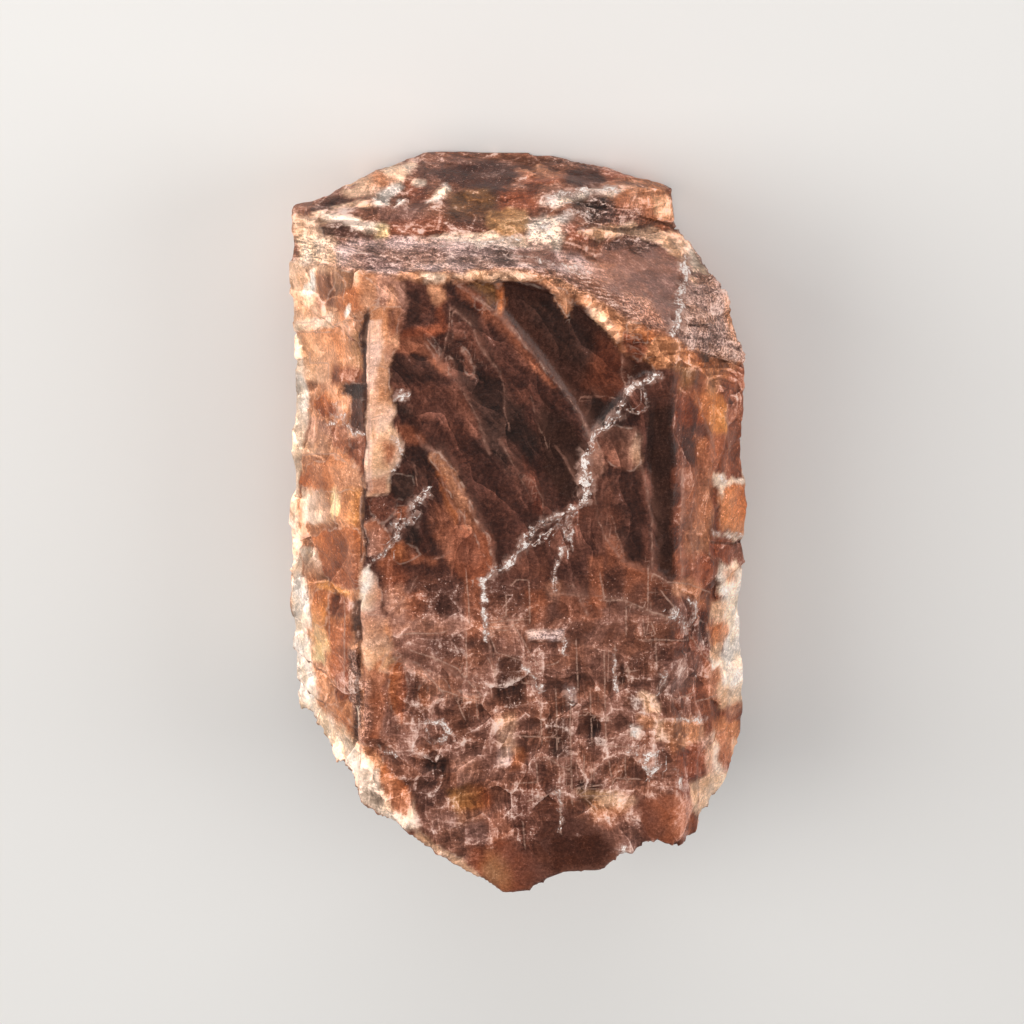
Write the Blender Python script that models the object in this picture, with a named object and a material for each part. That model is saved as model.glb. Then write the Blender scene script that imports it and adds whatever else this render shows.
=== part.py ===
"""A loose, broken-off crystal of cordierite, lying on its back prism face.

The crystal is a flattened six-sided prism. Its long axis runs along Y with the grown end at +Y,
its broad front face looks up (+Z), and its back face lies on the ground at z = 0.
Every side starts as a plane of the prism and gets its own relief: cleavage ledges on the flanks,
layered terraces on the grown end, a hackly break at the foot.
"""

import math
import random

import bmesh
import bpy
from mathutils import Vector, noise

MM = 0.001

# Driving dimensions, in millimetres. Across is +X, along is +Y, height is +Z.
THICKNESS = 21.0  # between the front and the back prism faces
FRONT_LEFT = -13.1  # the front face's left edge
FRONT_RIGHT = 13.3  # the front face's right edge
LEFT_REACH = -19.5  # the left side edge, where the two left flanks meet
RIGHT_REACH = 19.75  # the right side edge
TOP = 29.1  # the grown end's plateau, at its front edge
FLANK_ANGLE = math.radians(60)  # a pseudo-hexagonal prism
TAPER = 0.024  # each flank draws in by this much per millimetre towards the grown end

# The grown end is a plateau with three sloping parts. Each plane is (reach at the origin of its
# two slopes, slope across, slope with height), so that along = reach + across slope + height slope.
PLATEAU_RISE = 0.057  # towards the back
LEFT_BACK_CORNER = (33.5, 0.42, 0.40)
RIGHT_BACK_CORNER = (31.15, -0.28, 0.30)
TERRACE = (31.1, -0.53, -0.05)
SHOULDER = (79.0, -2.86, -0.85)
CLIFF_RIGHT = (13.6, 0.5)  # the cliff behind the terrace starts here, (across, height)
CLIFF_LEFT = (1.5, 21.0)  # and runs out here
MOUND = dict(foot=14.6, rise=0.8)  # the plateau's back part stands above its front strip

# The foot's outline as the front shows it, (across, along)
FOOT = [
    (-20.5, -23.0), (-17.8, -22.5), (-15.1, -22.5), (-13.6, -21.9), (-12.1, -23.1), (-9.9, -24.7),
    (-8.3, -26.1), (-6.3, -27.5), (-4.8, -28.7), (-3.1, -29.6), (-1.0, -31.2), (1.1, -30.8),
    (2.1, -29.8), (4.2, -28.8), (8.1, -28.4), (8.7, -26.9), (10.4, -26.1), (11.4, -25.2),
    (12.4, -25.1), (13.5, -25.8), (14.6, -27.1), (16.8, -28.0), (18.2, -27.6), (19.6, -25.6),
    (20.5, -23.0),
]
FOOT_UNDERCUT = 0.33  # how much the break runs back for each step down from the front
FOOT_HACKLE = 0.9

# Ledges across the two front flanks, along Y, and how far each block between them stands out
LEFT_LEDGES = [-16.0, -12.6, -9.0, -4.2, -0.4, 2.4, 9.6, 14.8, 21.9, 27.0]
LEFT_BLOCKS = [-1.1, -0.7, -0.1, 0.25, -0.3, 0.15, 0.35, -0.1, -0.3, 0.3, 0.1]
RIGHT_LEDGES = [-19.0, -13.5, -4.0, 4.3, 8.2, 15.0]
RIGHT_BLOCKS = [-0.3, 0.1, -0.3, 0.25, -0.2, 0.15, -0.1]

# Shallow places on the front where a flake has come away: outline (across, along) and depth
FLAKES = {
    "shell_window": (0.45, [
        (-4.9, 28.6), (-2.9, 26.9), (-0.6, 24.6), (1.5, 22.0), (3.2, 19.4), (4.6, 16.8), (5.6, 14.4),
        (6.1, 12.6), (7.0, 14.9), (8.6, 17.3), (10.0, 18.9), (11.2, 19.8), (10.0, 21.8), (7.7, 23.7),
        (5.5, 25.3), (3.4, 26.8), (0.1, 27.8),
    ]),
    "smooth_band": (0.35, [
        (11.3, 18.0), (13.0, 18.0), (13.2, 0.8), (11.5, 1.1), (11.0, 6.0), (10.8, 10.8),
    ]),
}

SEAM = dict(across=-12.95, low=-15.4, high=23.2, width=0.7, depth=1.5)  # the twin seam's groove

CHIPS_PER_EDGE = 7
SEED = 11


def fade(low, high, value):
    """Runs smoothly from 0 at low to 1 at high."""
    t = min(max((value - low) / (high - low), 0.0), 1.0)
    return t * t * (3 - 2 * t)


def between(points, value):
    """Reads a line through (place, height) points at value."""
    if value <= points[0][0]:
        return points[0][1]
    for (a, low), (b, high) in zip(points, points[1:]):
        if value <= b:
            return low + (high - low) * (value - a) / (b - a)
    return points[-1][1]


def lumps(a, b, size, seed):
    """Soft unevenness between about -1 and 1, size across."""
    return noise.fractal(Vector((a / size, b / size, seed * 7.3)), 1.0, 2.0, 3)


def facets(a, b, size, seed, tilt=0.5):
    """Broken flats between about -1 and 1: each random cell is a plane with its own height and slope."""
    nearest = None
    cell_a, cell_b = math.floor(a / size), math.floor(b / size)
    for i in range(cell_a - 1, cell_a + 2):
        for j in range(cell_b - 1, cell_b + 2):
            dice = random.Random(i * 7919 + j * 104729 + seed * 31)
            site_a = (i + dice.random()) * size
            site_b = (j + dice.random()) * size
            gap = math.hypot(a - site_a, b - site_b)
            if nearest is None or gap < nearest[0]:
                height = dice.uniform(-0.6, 0.6)
                slope_a, slope_b = dice.uniform(-tilt, tilt), dice.uniform(-tilt, tilt)
                plane = height + slope_a * (a - site_a) / size + slope_b * (b - site_b) / size
                nearest = (gap, plane)
    return nearest[1]


def block(ledges, offsets, b):
    """How far the block that b falls in stands out."""
    return offsets[sum(b > ledge for ledge in ledges)]


def stations(low, high, step, ledges=()):
    """Grid lines from low to high about step apart, with a close pair at each ledge."""
    count = max(1, round((high - low) / step))
    lines = [low + (high - low) * i / count for i in range(count + 1)]
    riser = 0.12
    for ledge in ledges:
        lines = [line for line in lines if abs(line - ledge) > step * 0.4] + [ledge - riser, ledge + riser]
    return sorted(lines)


# The relief of each side: how far it stands out from its plane, in millimetres


def front_relief(across, along):
    undulation = 0.14 * lumps(across, along, 9, 1)
    lattice = fade(2, -8, along) * facets(across, along, 2.6, 5)
    rounding = -0.5 * fade(10.5, 14.5, across) * fade(14, 22, along)
    return undulation + 0.16 * lattice + rounding


def left_relief(across, along):
    standing = block(LEFT_LEDGES, LEFT_BLOCKS, along) * fade(0.0, 2.0, across)
    chips = 0.35 * facets(across, along, 3.4, 21)
    return standing + chips - 0.25


def right_relief(across, along):
    flutes = 0.22 * math.sin(across * 2.1 + 0.8 * lumps(across, along, 8, 3))
    standing = block(RIGHT_LEDGES, RIGHT_BLOCKS, along) * fade(3.5, 6.0, across)
    return flutes + standing + 0.25 * facets(across, along, 4.0, 33) - 0.2


def left_back_relief(across, along):
    return 0.45 * facets(across, along, 4.6, 41) + 0.25 * lumps(across, along, 3, 4) - 0.3


def right_back_relief(across, along):
    return 0.45 * facets(across, along, 5.2, 47) + 0.25 * lumps(across, along, 3, 6) - 0.3


def back_relief(across, along):
    """Mostly dead flat, with growth pits sunk into it."""
    pits = facets(across, along, 7.0, 52, tilt=0.9) + 0.5 * lumps(across, along, 4, 8)
    return min(0.0, -0.9 * (pits - 0.42))


def plane_reach(plane, across, height):
    reach, slope_across, slope_height = plane
    return reach + slope_across * across + slope_height * height


def plateau_relief(across, height):
    """The grown end without its terrace: layers of thin plates, lower towards the two back corners."""
    level = TOP + PLATEAU_RISE * (THICKNESS - height)
    foot = MOUND["foot"] + 0.5 * lumps(across, 0, 7, 15)
    mound = 0.6 * fade(foot + 0.3, foot - 0.3, height) + 0.4 * fade(foot, foot - 5, height)
    mound *= MOUND["rise"] * fade(0.0, 6.0, height) * fade(8.0, 3.0, across)
    layers = 0.25 * (math.floor(2.4 * lumps(across / 2.8, height, 4.5, 9)) + 0.5)
    reach = min(
        level + mound,
        plane_reach(LEFT_BACK_CORNER, across, height),
        plane_reach(RIGHT_BACK_CORNER, across, height),
    )
    return reach + layers + 0.28 * facets(across, height, 4.0, 61) - TOP


def terrace_relief(gap, run):
    """The sloping terrace and the steeper shoulder right of it, in the cliff's own directions."""
    across, height = cliff_place(run, gap)
    reach = min(plane_reach(TERRACE, across, height), plane_reach(SHOULDER, across, height))
    return reach + 0.2 * facets(across, height, 3.2, 67) - TOP


def cliff_directions():
    run = Vector(CLIFF_LEFT) - Vector(CLIFF_RIGHT)
    run.normalize()
    return run, Vector((run.y, -run.x))


def cliff_place(run, gap):
    """The (across, height) of a point run along the cliff and gap in front of it."""
    along_cliff, away = cliff_directions()
    place = Vector(CLIFF_RIGHT) + along_cliff * run + away * gap
    return place.x, place.y


def foot_relief(across, height):
    """The broken foot: how far it reaches below the level of the side edges."""
    depth = THICKNESS - height
    bevel = 0.9 * (1 - fade(0.0, 1.8, depth)) * fade(2.0, -6.0, across)
    hackle = FOOT_HACKLE * facets(across, height, 3.0, 71, tilt=0.9) * fade(0.0, 2.5, depth)
    return -between(FOOT, across) - FOOT_UNDERCUT * depth - bevel + hackle


def mesh_object(name, mesh_data):
    mesh = bpy.data.meshes.new(name)
    mesh_data.to_mesh(mesh)
    mesh_data.free()
    made = bpy.data.objects.new(name, mesh)
    bpy.context.scene.collection.objects.link(made)
    return made


def side_cutter(name, origin, across, along, outward, lines_across, lines_along, relief, reach=14.0):
    """A slab that removes all that lies outside one side of the crystal. Its inner face is the side."""
    origin, across, along, outward = (Vector(v) for v in (origin, across, along, outward))
    bm = bmesh.new()

    def place(a, b, out):
        return bm.verts.new((origin + across * a + along * b + outward * out) * MM)

    def layer(height_of):
        return [[place(a, b, height_of(a, b)) for b in lines_along] for a in lines_across]

    inner, outer = layer(relief), layer(lambda a, b: reach)
    columns, rows = len(lines_across), len(lines_along)
    for grid in (inner, outer):
        for i in range(columns - 1):
            for j in range(rows - 1):
                a, b, c, d = grid[i][j], grid[i + 1][j], grid[i + 1][j + 1], grid[i][j + 1]
                halves = ((a, b, c), (a, c, d)) if (i + j) % 2 else ((a, b, d), (b, c, d))
                for half in halves:
                    bm.faces.new(half)
    rim = [(i, 0) for i in range(columns)]
    rim += [(columns - 1, j) for j in range(1, rows)]
    rim += [(i, rows - 1) for i in reversed(range(columns - 1))]
    rim += [(0, j) for j in reversed(range(1, rows - 1))]
    for (i, j), (k, l) in zip(rim, rim[1:] + rim[:1]):
        bm.faces.new((inner[i][j], inner[k][l], outer[k][l], outer[i][j]))
    bmesh.ops.recalc_face_normals(bm, faces=bm.faces)
    return mesh_object(name, bm)


def flake_cutter(name, depth, outline):
    """A thin plate let into the front face, whose edge leaves a crisp ledge."""
    bm = bmesh.new()
    top = [bm.verts.new(Vector((a, b, THICKNESS + 2)) * MM) for a, b in outline]
    floor = [bm.verts.new(Vector((a, b, THICKNESS - depth)) * MM) for a, b in outline]
    count = len(outline)
    for i in range(count):
        bm.faces.new((top[i], top[(i + 1) % count], floor[(i + 1) % count], floor[i]))
    bm.faces.new(top)
    bm.faces.new(floor)
    bmesh.ops.recalc_face_normals(bm, faces=bm.faces)
    bmesh.ops.triangulate(bm, faces=bm.faces)
    return mesh_object(name, bm)


def seam_cutter():
    """The wedge that opens the narrow groove along the twin seam."""
    bm = bmesh.new()
    rings = []
    for along in stations(SEAM["low"], SEAM["high"], 2.6):
        drift = 0.25 * lumps(0, along, 8, 12)
        narrow = SEAM["width"] * (0.35 + 0.65 * fade(0, 3, min(along - SEAM["low"], SEAM["high"] - along)))
        middle = SEAM["across"] + drift
        points = [
            (middle - narrow * 1.6, along, THICKNESS + 1.0),
            (middle + narrow * 0.6, along, THICKNESS + 1.0),
            (middle + narrow * 0.1, along, THICKNESS - SEAM["depth"]),
        ]
        rings.append([bm.verts.new(Vector(p) * MM) for p in points])
    for ring, following in zip(rings, rings[1:]):
        for i in range(3):
            bm.faces.new((ring[i], ring[(i + 1) % 3], following[(i + 1) % 3], following[i]))
    bm.faces.new(rings[0])
    bm.faces.new(rings[-1])
    bmesh.ops.recalc_face_normals(bm, faces=bm.faces)
    bmesh.ops.triangulate(bm, faces=bm.faces)
    return mesh_object("seam_cutter", bm)


def chip_cutter(name, centre, size, dice):
    """A small angular lump whose place is left as a chip in an edge."""
    bm = bmesh.new()
    for _ in range(9):
        way = Vector((dice.gauss(0, 1), dice.gauss(0, 1), dice.gauss(0, 1))).normalized()
        bm.verts.new((Vector(centre) + way * size * dice.uniform(0.7, 1.0)) * MM)
    hull = bmesh.ops.convex_hull(bm, input=bm.verts)
    loose = [v for v in hull["geom_interior"] if isinstance(v, bmesh.types.BMVert)]
    bmesh.ops.delete(bm, geom=loose, context="VERTS")
    bmesh.ops.recalc_face_normals(bm, faces=bm.faces)
    return mesh_object(name, bm)


def subtract(body, cutter):
    """Cuts the cutter's shape out of the body and removes the cutter."""
    cut = body.modifiers.new("cut", "BOOLEAN")
    cut.operation = "DIFFERENCE"
    cut.solver = "EXACT"
    cut.object = cutter
    graph = bpy.context.evaluated_depsgraph_get()
    result = bpy.data.meshes.new_from_object(body.evaluated_get(graph))
    body.modifiers.clear()
    old, body.data = body.data, result
    bpy.data.meshes.remove(old)
    bpy.data.objects.remove(cutter)


def side_height(front_edge, reach):
    """How far off the ground a side edge runs."""
    return THICKNESS - abs(reach - front_edge) * math.tan(FLANK_ANGLE)


def side_cutters():
    """One slab for each side of the crystal, and one for the terrace."""
    lean, rise = math.cos(FLANK_ANGLE), math.sin(FLANK_ANGLE)
    flank = (THICKNESS + 2) / rise / 2
    low, high = -34.0, 34.0
    left_side = side_height(FRONT_LEFT, LEFT_REACH)
    right_side = side_height(FRONT_RIGHT, RIGHT_REACH)
    leftwards, rightwards = (TAPER, 1, 0), (-TAPER, 1, 0)
    yield side_cutter(
        "front", (0, 0, THICKNESS), (1, 0, 0), (0, 1, 0), (0, 0, 1),
        stations(-16, 16, 1.35), stations(low, high, 1.5), front_relief,
    )
    yield side_cutter(
        "back", (0, 0, 0), (1, 0, 0), (0, 1, 0), (0, 0, -1),
        stations(-16, 16, 2.2), stations(low, high, 2.2), back_relief,
    )
    yield side_cutter(
        "left", (FRONT_LEFT, 0, THICKNESS), (-lean, 0, -rise), leftwards, (-rise, 0, lean),
        stations(-4, flank + 2.5, 1.35), stations(low, high, 1.5, LEFT_LEDGES), left_relief,
    )
    yield side_cutter(
        "right", (FRONT_RIGHT, 0, THICKNESS), (lean, 0, -rise), rightwards, (rise, 0, lean),
        stations(-4, flank + 2.5, 1.35), stations(low, high, 1.5, RIGHT_LEDGES), right_relief,
    )
    yield side_cutter(
        "left_back", (LEFT_REACH, 0, left_side), (lean, 0, -rise), leftwards, (-rise, 0, -lean),
        stations(-3, flank + 4, 1.9), stations(low, high, 2.0), left_back_relief,
    )
    yield side_cutter(
        "right_back", (RIGHT_REACH, 0, right_side), (-lean, 0, -rise), rightwards, (rise, 0, -lean),
        stations(-3, flank + 4, 1.9), stations(low, high, 2.0), right_back_relief,
    )
    heights = stations(-2, THICKNESS + 2, 1.2, [MOUND["foot"]])
    yield side_cutter(
        "top", (0, TOP, 0), (1, 0, 0), (0, 0, 1), (0, 1, 0),
        stations(-22, 22, 1.2), heights, plateau_relief,
    )
    yield side_cutter(
        "foot", (0, 0, 0), (1, 0, 0), (0, 0, 1), (0, -1, 0),
        stations(-22, 22, 1.1), stations(-2, THICKNESS + 2, 1.4), foot_relief, reach=40.0,
    )
    run, away = cliff_directions()
    start_across, start_height = CLIFF_RIGHT
    yield side_cutter(
        "terrace", (start_across, TOP, start_height), (away.x, 0, away.y), (run.x, 0, run.y), (0, 1, 0),
        stations(0, 22, 1.3), stations(-4, 26, 1.3), terrace_relief,
    )


def edge_chips():
    """Chips along the long edges and round the grown end."""
    dice = random.Random(SEED)
    left_side = side_height(FRONT_LEFT, LEFT_REACH)
    right_side = side_height(FRONT_RIGHT, RIGHT_REACH)
    edges = [
        ((LEFT_REACH, left_side), (-13, 28)),
        ((RIGHT_REACH, right_side), (-20, 16)),
        ((-12.9, 0.4), (-16, 26)),
        ((12.6, 0.4), (-18, 25)),
    ]
    for (across, height), (low, high) in edges:
        for i in range(CHIPS_PER_EDGE):
            along = low + (high - low) * (i + dice.random()) / CHIPS_PER_EDGE
            size = dice.uniform(0.8, 1.9)
            away = math.copysign(size * dice.uniform(0.45, 0.7), across)
            sink = 0.6 if height < 1 else 0.0
            yield chip_cutter("chip", (across + away, along, height - sink), size, dice)


def crystal_material():
    material = bpy.data.materials.new("brown_cordierite")
    material.use_nodes = True
    surface = material.node_tree.nodes["Principled BSDF"]
    surface.inputs["Base Color"].default_value = (0.24, 0.085, 0.05, 1)
    surface.inputs["Roughness"].default_value = 0.32
    surface.inputs["Metallic"].default_value = 0.0
    return material


def build_crystal():
    bm = bmesh.new()
    bmesh.ops.create_cube(bm, size=1)
    bmesh.ops.scale(bm, vec=Vector((41, 64, THICKNESS + 2)) * MM, verts=bm.verts)
    bmesh.ops.translate(bm, vec=Vector((0, 0, THICKNESS / 2)) * MM, verts=bm.verts)
    crystal = mesh_object("cordierite_crystal", bm)
    for cutter in side_cutters():
        subtract(crystal, cutter)
    subtract(crystal, seam_cutter())
    for name, (depth, outline) in FLAKES.items():
        subtract(crystal, flake_cutter(name, depth, outline))
    for cutter in edge_chips():
        subtract(crystal, cutter)
    return crystal


def settle(crystal):
    """Puts the origin at the middle of the underside and tidies the mesh."""
    bm = bmesh.new()
    bm.from_mesh(crystal.data)
    bmesh.ops.remove_doubles(bm, verts=bm.verts, dist=0.01 * MM)
    bmesh.ops.triangulate(bm, faces=bm.faces)
    corners = [[pick(v.co[axis] for v in bm.verts) for pick in (min, max)] for axis in range(3)]
    middle = Vector([(low + high) / 2 for low, high in corners])
    middle.z = corners[2][0]
    bmesh.ops.translate(bm, vec=-middle, verts=bm.verts)
    bm.to_mesh(crystal.data)
    bm.free()


for leftover in list(bpy.data.objects):
    bpy.data.objects.remove(leftover)
crystal = build_crystal()
settle(crystal)
crystal.data.materials.append(crystal_material())
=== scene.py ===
import math

import bmesh
import bpy
import numpy as np
from mathutils import Matrix, Vector, noise


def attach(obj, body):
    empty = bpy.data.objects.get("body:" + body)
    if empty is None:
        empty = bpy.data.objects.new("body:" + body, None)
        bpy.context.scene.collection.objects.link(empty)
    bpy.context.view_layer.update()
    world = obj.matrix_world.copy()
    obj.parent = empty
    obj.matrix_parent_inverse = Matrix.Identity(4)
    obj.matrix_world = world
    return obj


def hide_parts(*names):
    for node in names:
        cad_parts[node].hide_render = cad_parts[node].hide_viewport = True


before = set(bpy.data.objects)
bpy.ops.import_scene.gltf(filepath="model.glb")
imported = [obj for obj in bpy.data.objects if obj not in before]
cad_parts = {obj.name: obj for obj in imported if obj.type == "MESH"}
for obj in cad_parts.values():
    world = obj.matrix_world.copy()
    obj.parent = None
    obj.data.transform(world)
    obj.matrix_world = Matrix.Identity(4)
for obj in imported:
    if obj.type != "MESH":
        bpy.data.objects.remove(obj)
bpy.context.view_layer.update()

mm = 0.001

# the main view: the camera leans 28 degrees from straight above, towards the grown end

viewPlan = dict(
    lean=math.radians(28),
    eye=(-0.000504, 0.207213, 0.397918),
    lens=180.0,
    sensor=36.0,
    width=1024,  # the view is square and this many dots wide
)
viewRight = np.array((1.0, 0.0, 0.0))
viewUp = np.array((0.0, math.cos(viewPlan["lean"]), -math.sin(viewPlan["lean"])))
viewBack = np.array((0.0, math.sin(viewPlan["lean"]), math.cos(viewPlan["lean"])))


def viewPlace(points):
    # where each point lies in the main view, in dots from the top left
    away = points - np.array(viewPlan["eye"])
    depth = -(away @ viewBack)
    dots = viewPlan["lens"] / viewPlan["sensor"] * viewPlan["width"]
    half = viewPlan["width"] / 2
    return half + dots * (away @ viewRight) / depth, half - dots * (away @ viewUp) / depth


def addCamera():
    data = bpy.data.cameras.new("mainCamera")
    data.lens = viewPlan["lens"]
    data.sensor_width = viewPlan["sensor"]
    data.clip_end = 10
    camera = bpy.data.objects.new("mainCamera", data)
    turn = Matrix((viewRight, viewUp, viewBack)).transposed()
    camera.matrix_world = Matrix.Translation(viewPlan["eye"]) @ turn.to_4x4()
    bpy.context.scene.collection.objects.link(camera)
    bpy.context.scene.camera = camera


addCamera()

# small tools for node trees: the same ones serve a material and a geometry tree


class Graph:
    def __init__(self, tree):
        self.tree = tree
        self.isGeometry = tree.bl_idname == "GeometryNodeTree"

    def add(self, kind, **settings):
        node = self.tree.nodes.new(kind)
        for name, value in settings.items():
            setattr(node, name, value)
        return node

    def feed(self, socket, value):
        if isinstance(value, bpy.types.NodeSocket):
            self.tree.links.new(value, socket)
        elif value is not None:
            socket.default_value = value

    def math(self, operation, *values):
        node = self.add("ShaderNodeMath", operation=operation)
        for socket, value in zip(node.inputs, values):
            self.feed(socket, value)
        return node.outputs[0]

    def vector(self, operation, first, second=None, scale=None):
        node = self.add("ShaderNodeVectorMath", operation=operation)
        self.feed(node.inputs[0], first)
        self.feed(node.inputs[1], second)
        if scale is not None:
            self.feed(node.inputs["Scale"], scale)
        return node.outputs["Value"] if operation in ("LENGTH", "DOT_PRODUCT") else node.outputs[0]

    def join(self, x=0.0, y=0.0, z=0.0):
        node = self.add("ShaderNodeCombineXYZ")
        for socket, value in zip(node.inputs, (x, y, z)):
            self.feed(socket, value)
        return node.outputs[0]

    def split(self, vector):
        node = self.add("ShaderNodeSeparateXYZ")
        self.feed(node.inputs[0], vector)
        return node.outputs[0], node.outputs[1], node.outputs[2]

    def ramp(self, value, low, high, toLow=0.0, toHigh=1.0):
        # runs smoothly from toLow at low to toHigh at high
        node = self.add("ShaderNodeMapRange", interpolation_type="SMOOTHSTEP")
        for socket, number in zip(node.inputs, (value, low, high, toLow, toHigh)):
            self.feed(socket, number)
        return node.outputs[0]

    def noise(self, place, scale, detail=3.0, roughness=0.5):
        node = self.add("ShaderNodeTexNoise", noise_dimensions="3D", normalize=True)
        self.feed(node.inputs["Vector"], place)
        node.inputs["Scale"].default_value = scale
        node.inputs["Detail"].default_value = detail
        node.inputs["Roughness"].default_value = roughness
        return node.outputs[0]

    def noiseVector(self, place, scale, detail, amount):
        # a wander of about amount each way
        node = self.add("ShaderNodeTexNoise", noise_dimensions="3D", normalize=True)
        self.feed(node.inputs["Vector"], place)
        node.inputs["Scale"].default_value = scale
        node.inputs["Detail"].default_value = detail
        centred = self.vector("SUBTRACT", node.outputs["Color"], (0.5, 0.5, 0.5))
        return self.vector("SCALE", centred, scale=2.0 * amount)

    def cells(self, place, scale, metric="EUCLIDEAN", output="Distance"):
        node = self.add("ShaderNodeTexVoronoi", voronoi_dimensions="3D", feature="F1", distance=metric)
        self.feed(node.inputs["Vector"], place)
        node.inputs["Scale"].default_value = scale
        return node.outputs[output]

    def blend(self, amount, under, over):
        # lays one colour over another
        node = self.add("ShaderNodeMix", data_type="RGBA")
        self.feed(node.inputs[0], amount)
        self.feed(node.inputs[6], under)
        self.feed(node.inputs[7], over)
        return node.outputs[2]

    def attribute(self, name, kind="FLOAT_VECTOR"):
        if self.isGeometry:
            node = self.add("GeometryNodeInputNamedAttribute", data_type=kind)
            node.inputs["Name"].default_value = name
            return node.outputs[0]
        return self.add("ShaderNodeAttribute", attribute_name=name).outputs["Vector"]


# the crystal's fine mesh, made from the solid

crystalPlan = dict(
    weld=1e-6,
    grain=0.000296,  # size of the fine mesh's faces
    softness=0.4,
    smoothing=2,
    middle=0.0103,  # height that the flanks are mirrored about
    front=0.021,  # height of the front face
)


def bodyFromSolid():
    solid = bmesh.new()
    solid.from_mesh(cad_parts["cordierite_crystal"].data)
    bmesh.ops.remove_doubles(solid, verts=solid.verts, dist=crystalPlan["weld"])
    mesh = bpy.data.meshes.new("crystalBody")
    solid.to_mesh(mesh)
    solid.free()
    body = bpy.data.objects.new("crystalBody", mesh)
    bpy.context.scene.collection.objects.link(body)
    fine = body.modifiers.new("fine", "REMESH")
    fine.mode = "VOXEL"
    fine.voxel_size = crystalPlan["grain"]
    fine.use_smooth_shade = True
    soft = body.modifiers.new("soft", "SMOOTH")
    soft.factor = crystalPlan["softness"]
    soft.iterations = crystalPlan["smoothing"]
    settle(body)
    return body


def settle(piece):
    # turns what the modifiers make into a plain mesh
    graph = bpy.context.evaluated_depsgraph_get()
    shown = piece.evaluated_get(graph)
    made = bpy.data.meshes.new_from_object(shown, preserve_all_data_layers=True, depsgraph=graph)
    piece.modifiers.clear()
    old, piece.data = piece.data, made
    bpy.data.meshes.remove(old)


body = bodyFromSolid()
print("fine mesh:", len(body.data.vertices), "points,", len(body.data.polygons), "faces")


def pointsOf(mesh):
    places = np.empty(len(mesh.vertices) * 3, np.float32)
    mesh.vertices.foreach_get("co", places)
    normals = np.empty(len(mesh.vertices) * 3, np.float32)
    mesh.vertex_normals.foreach_get("vector", normals)
    return places.reshape(-1, 3).astype(float), normals.reshape(-1, 3).astype(float)


def fade(low, high, value):
    t = np.clip((value - low) / (high - low), 0.0, 1.0)
    return t * t * (3 - 2 * t)


def wander(places, size, amount, seed):
    # a soft random shift of each point, in dots of the view
    noise.seed_set(seed)
    shift = Vector((seed * 3.7, seed * 1.9, seed * 2.3))
    drift = [noise.turbulence_vector(Vector(place) / size + shift, 2, False)[:2] for place in places]
    return np.array(drift) * amount


class Skin:
    # the marks of the surface, laid out in the main view's dots

    def __init__(self, places, normals):
        self.places, self.normals = places, normals
        self.towards = normals @ viewBack
        self.x, self.y = viewPlace(self.unfolded())
        self.drift = wander(places, 0.0022, 4.5, 1) + wander(places, 0.0007, 1.6, 2)
        self.roughX, self.roughY = self.x + self.drift[:, 0], self.y + self.drift[:, 1]
        self.colour = np.zeros((len(places), 3))
        self.lift = np.zeros(len(places))
        self.kinds = {}
        self.lines = {}

    def unfolded(self):
        # sides that the view doesn't see take the marks of the side they mirror
        spots = self.places.copy()
        hidden = (self.towards < 0.1) & (self.normals[:, 1] > -0.75)
        flank = hidden & (np.abs(self.normals[:, 0]) > 0.45)
        spots[flank, 2] = 2 * crystalPlan["middle"] - spots[flank, 2]
        back = hidden & ~flank
        spots[back, 0] *= -1
        spots[back, 2] = crystalPlan["front"]
        return spots

    def area(self, outline, soft):
        # 1 inside the outline, 0 outside
        return fade(-soft, soft, insideBy(self.roughX, self.roughY, outline))

    def oval(self, shape, soft):
        middleX, middleY, halfWide, halfHigh, turn = shape
        turn = math.radians(turn)
        dx, dy = self.roughX - middleX, self.roughY - middleY
        along = (dx * math.cos(turn) + dy * math.sin(turn)) / halfWide
        across = (dy * math.cos(turn) - dx * math.sin(turn)) / halfHigh
        return fade(1 + soft, 1 - soft, np.hypot(along, across))

    def lean(self, outline, turn, first, second):
        # a colour for each point that goes from first to second across the outline
        turn = math.radians(turn)
        reach = [x * math.cos(turn) + y * math.sin(turn) for x, y in outline]
        here = self.roughX * math.cos(turn) + self.roughY * math.sin(turn)
        share = fade(min(reach), max(reach), here)[:, None]
        return first * (1 - share) + second * share

    def lay(self, cover, colour, strength=1.0):
        amount = np.clip(cover * strength, 0, 1)[:, None]
        self.colour = self.colour * (1 - amount) + colour * amount

    def keep(self, name, values):
        self.kinds[name] = np.clip(np.maximum(self.kinds.get(name, 0), values), 0, 1)

    def drop(self, name, cover):
        self.kinds[name] = self.kinds[name] * (1 - cover)


def linear(colour):
    value = np.array(colour, float) / 255
    return np.where(value <= 0.04045, value / 12.92, ((value + 0.055) / 1.055) ** 2.4)


def insideBy(x, y, outline):
    # distance to the outline, positive inside
    nearest = np.full(len(x), 1e9)
    inside = np.zeros(len(x), bool)
    for (ax, ay), (bx, by) in zip(outline, outline[1:] + outline[:1]):
        wide, high = bx - ax, by - ay
        t = np.clip(((x - ax) * wide + (y - ay) * high) / (wide * wide + high * high), 0, 1)
        nearest = np.minimum(nearest, np.hypot(x - ax - t * wide, y - ay - t * high))
        if high:
            inside ^= ((ay > y) != (by > y)) & (x < wide * (y - ay) / high + ax)
    return np.where(inside, nearest, -nearest)


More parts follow.
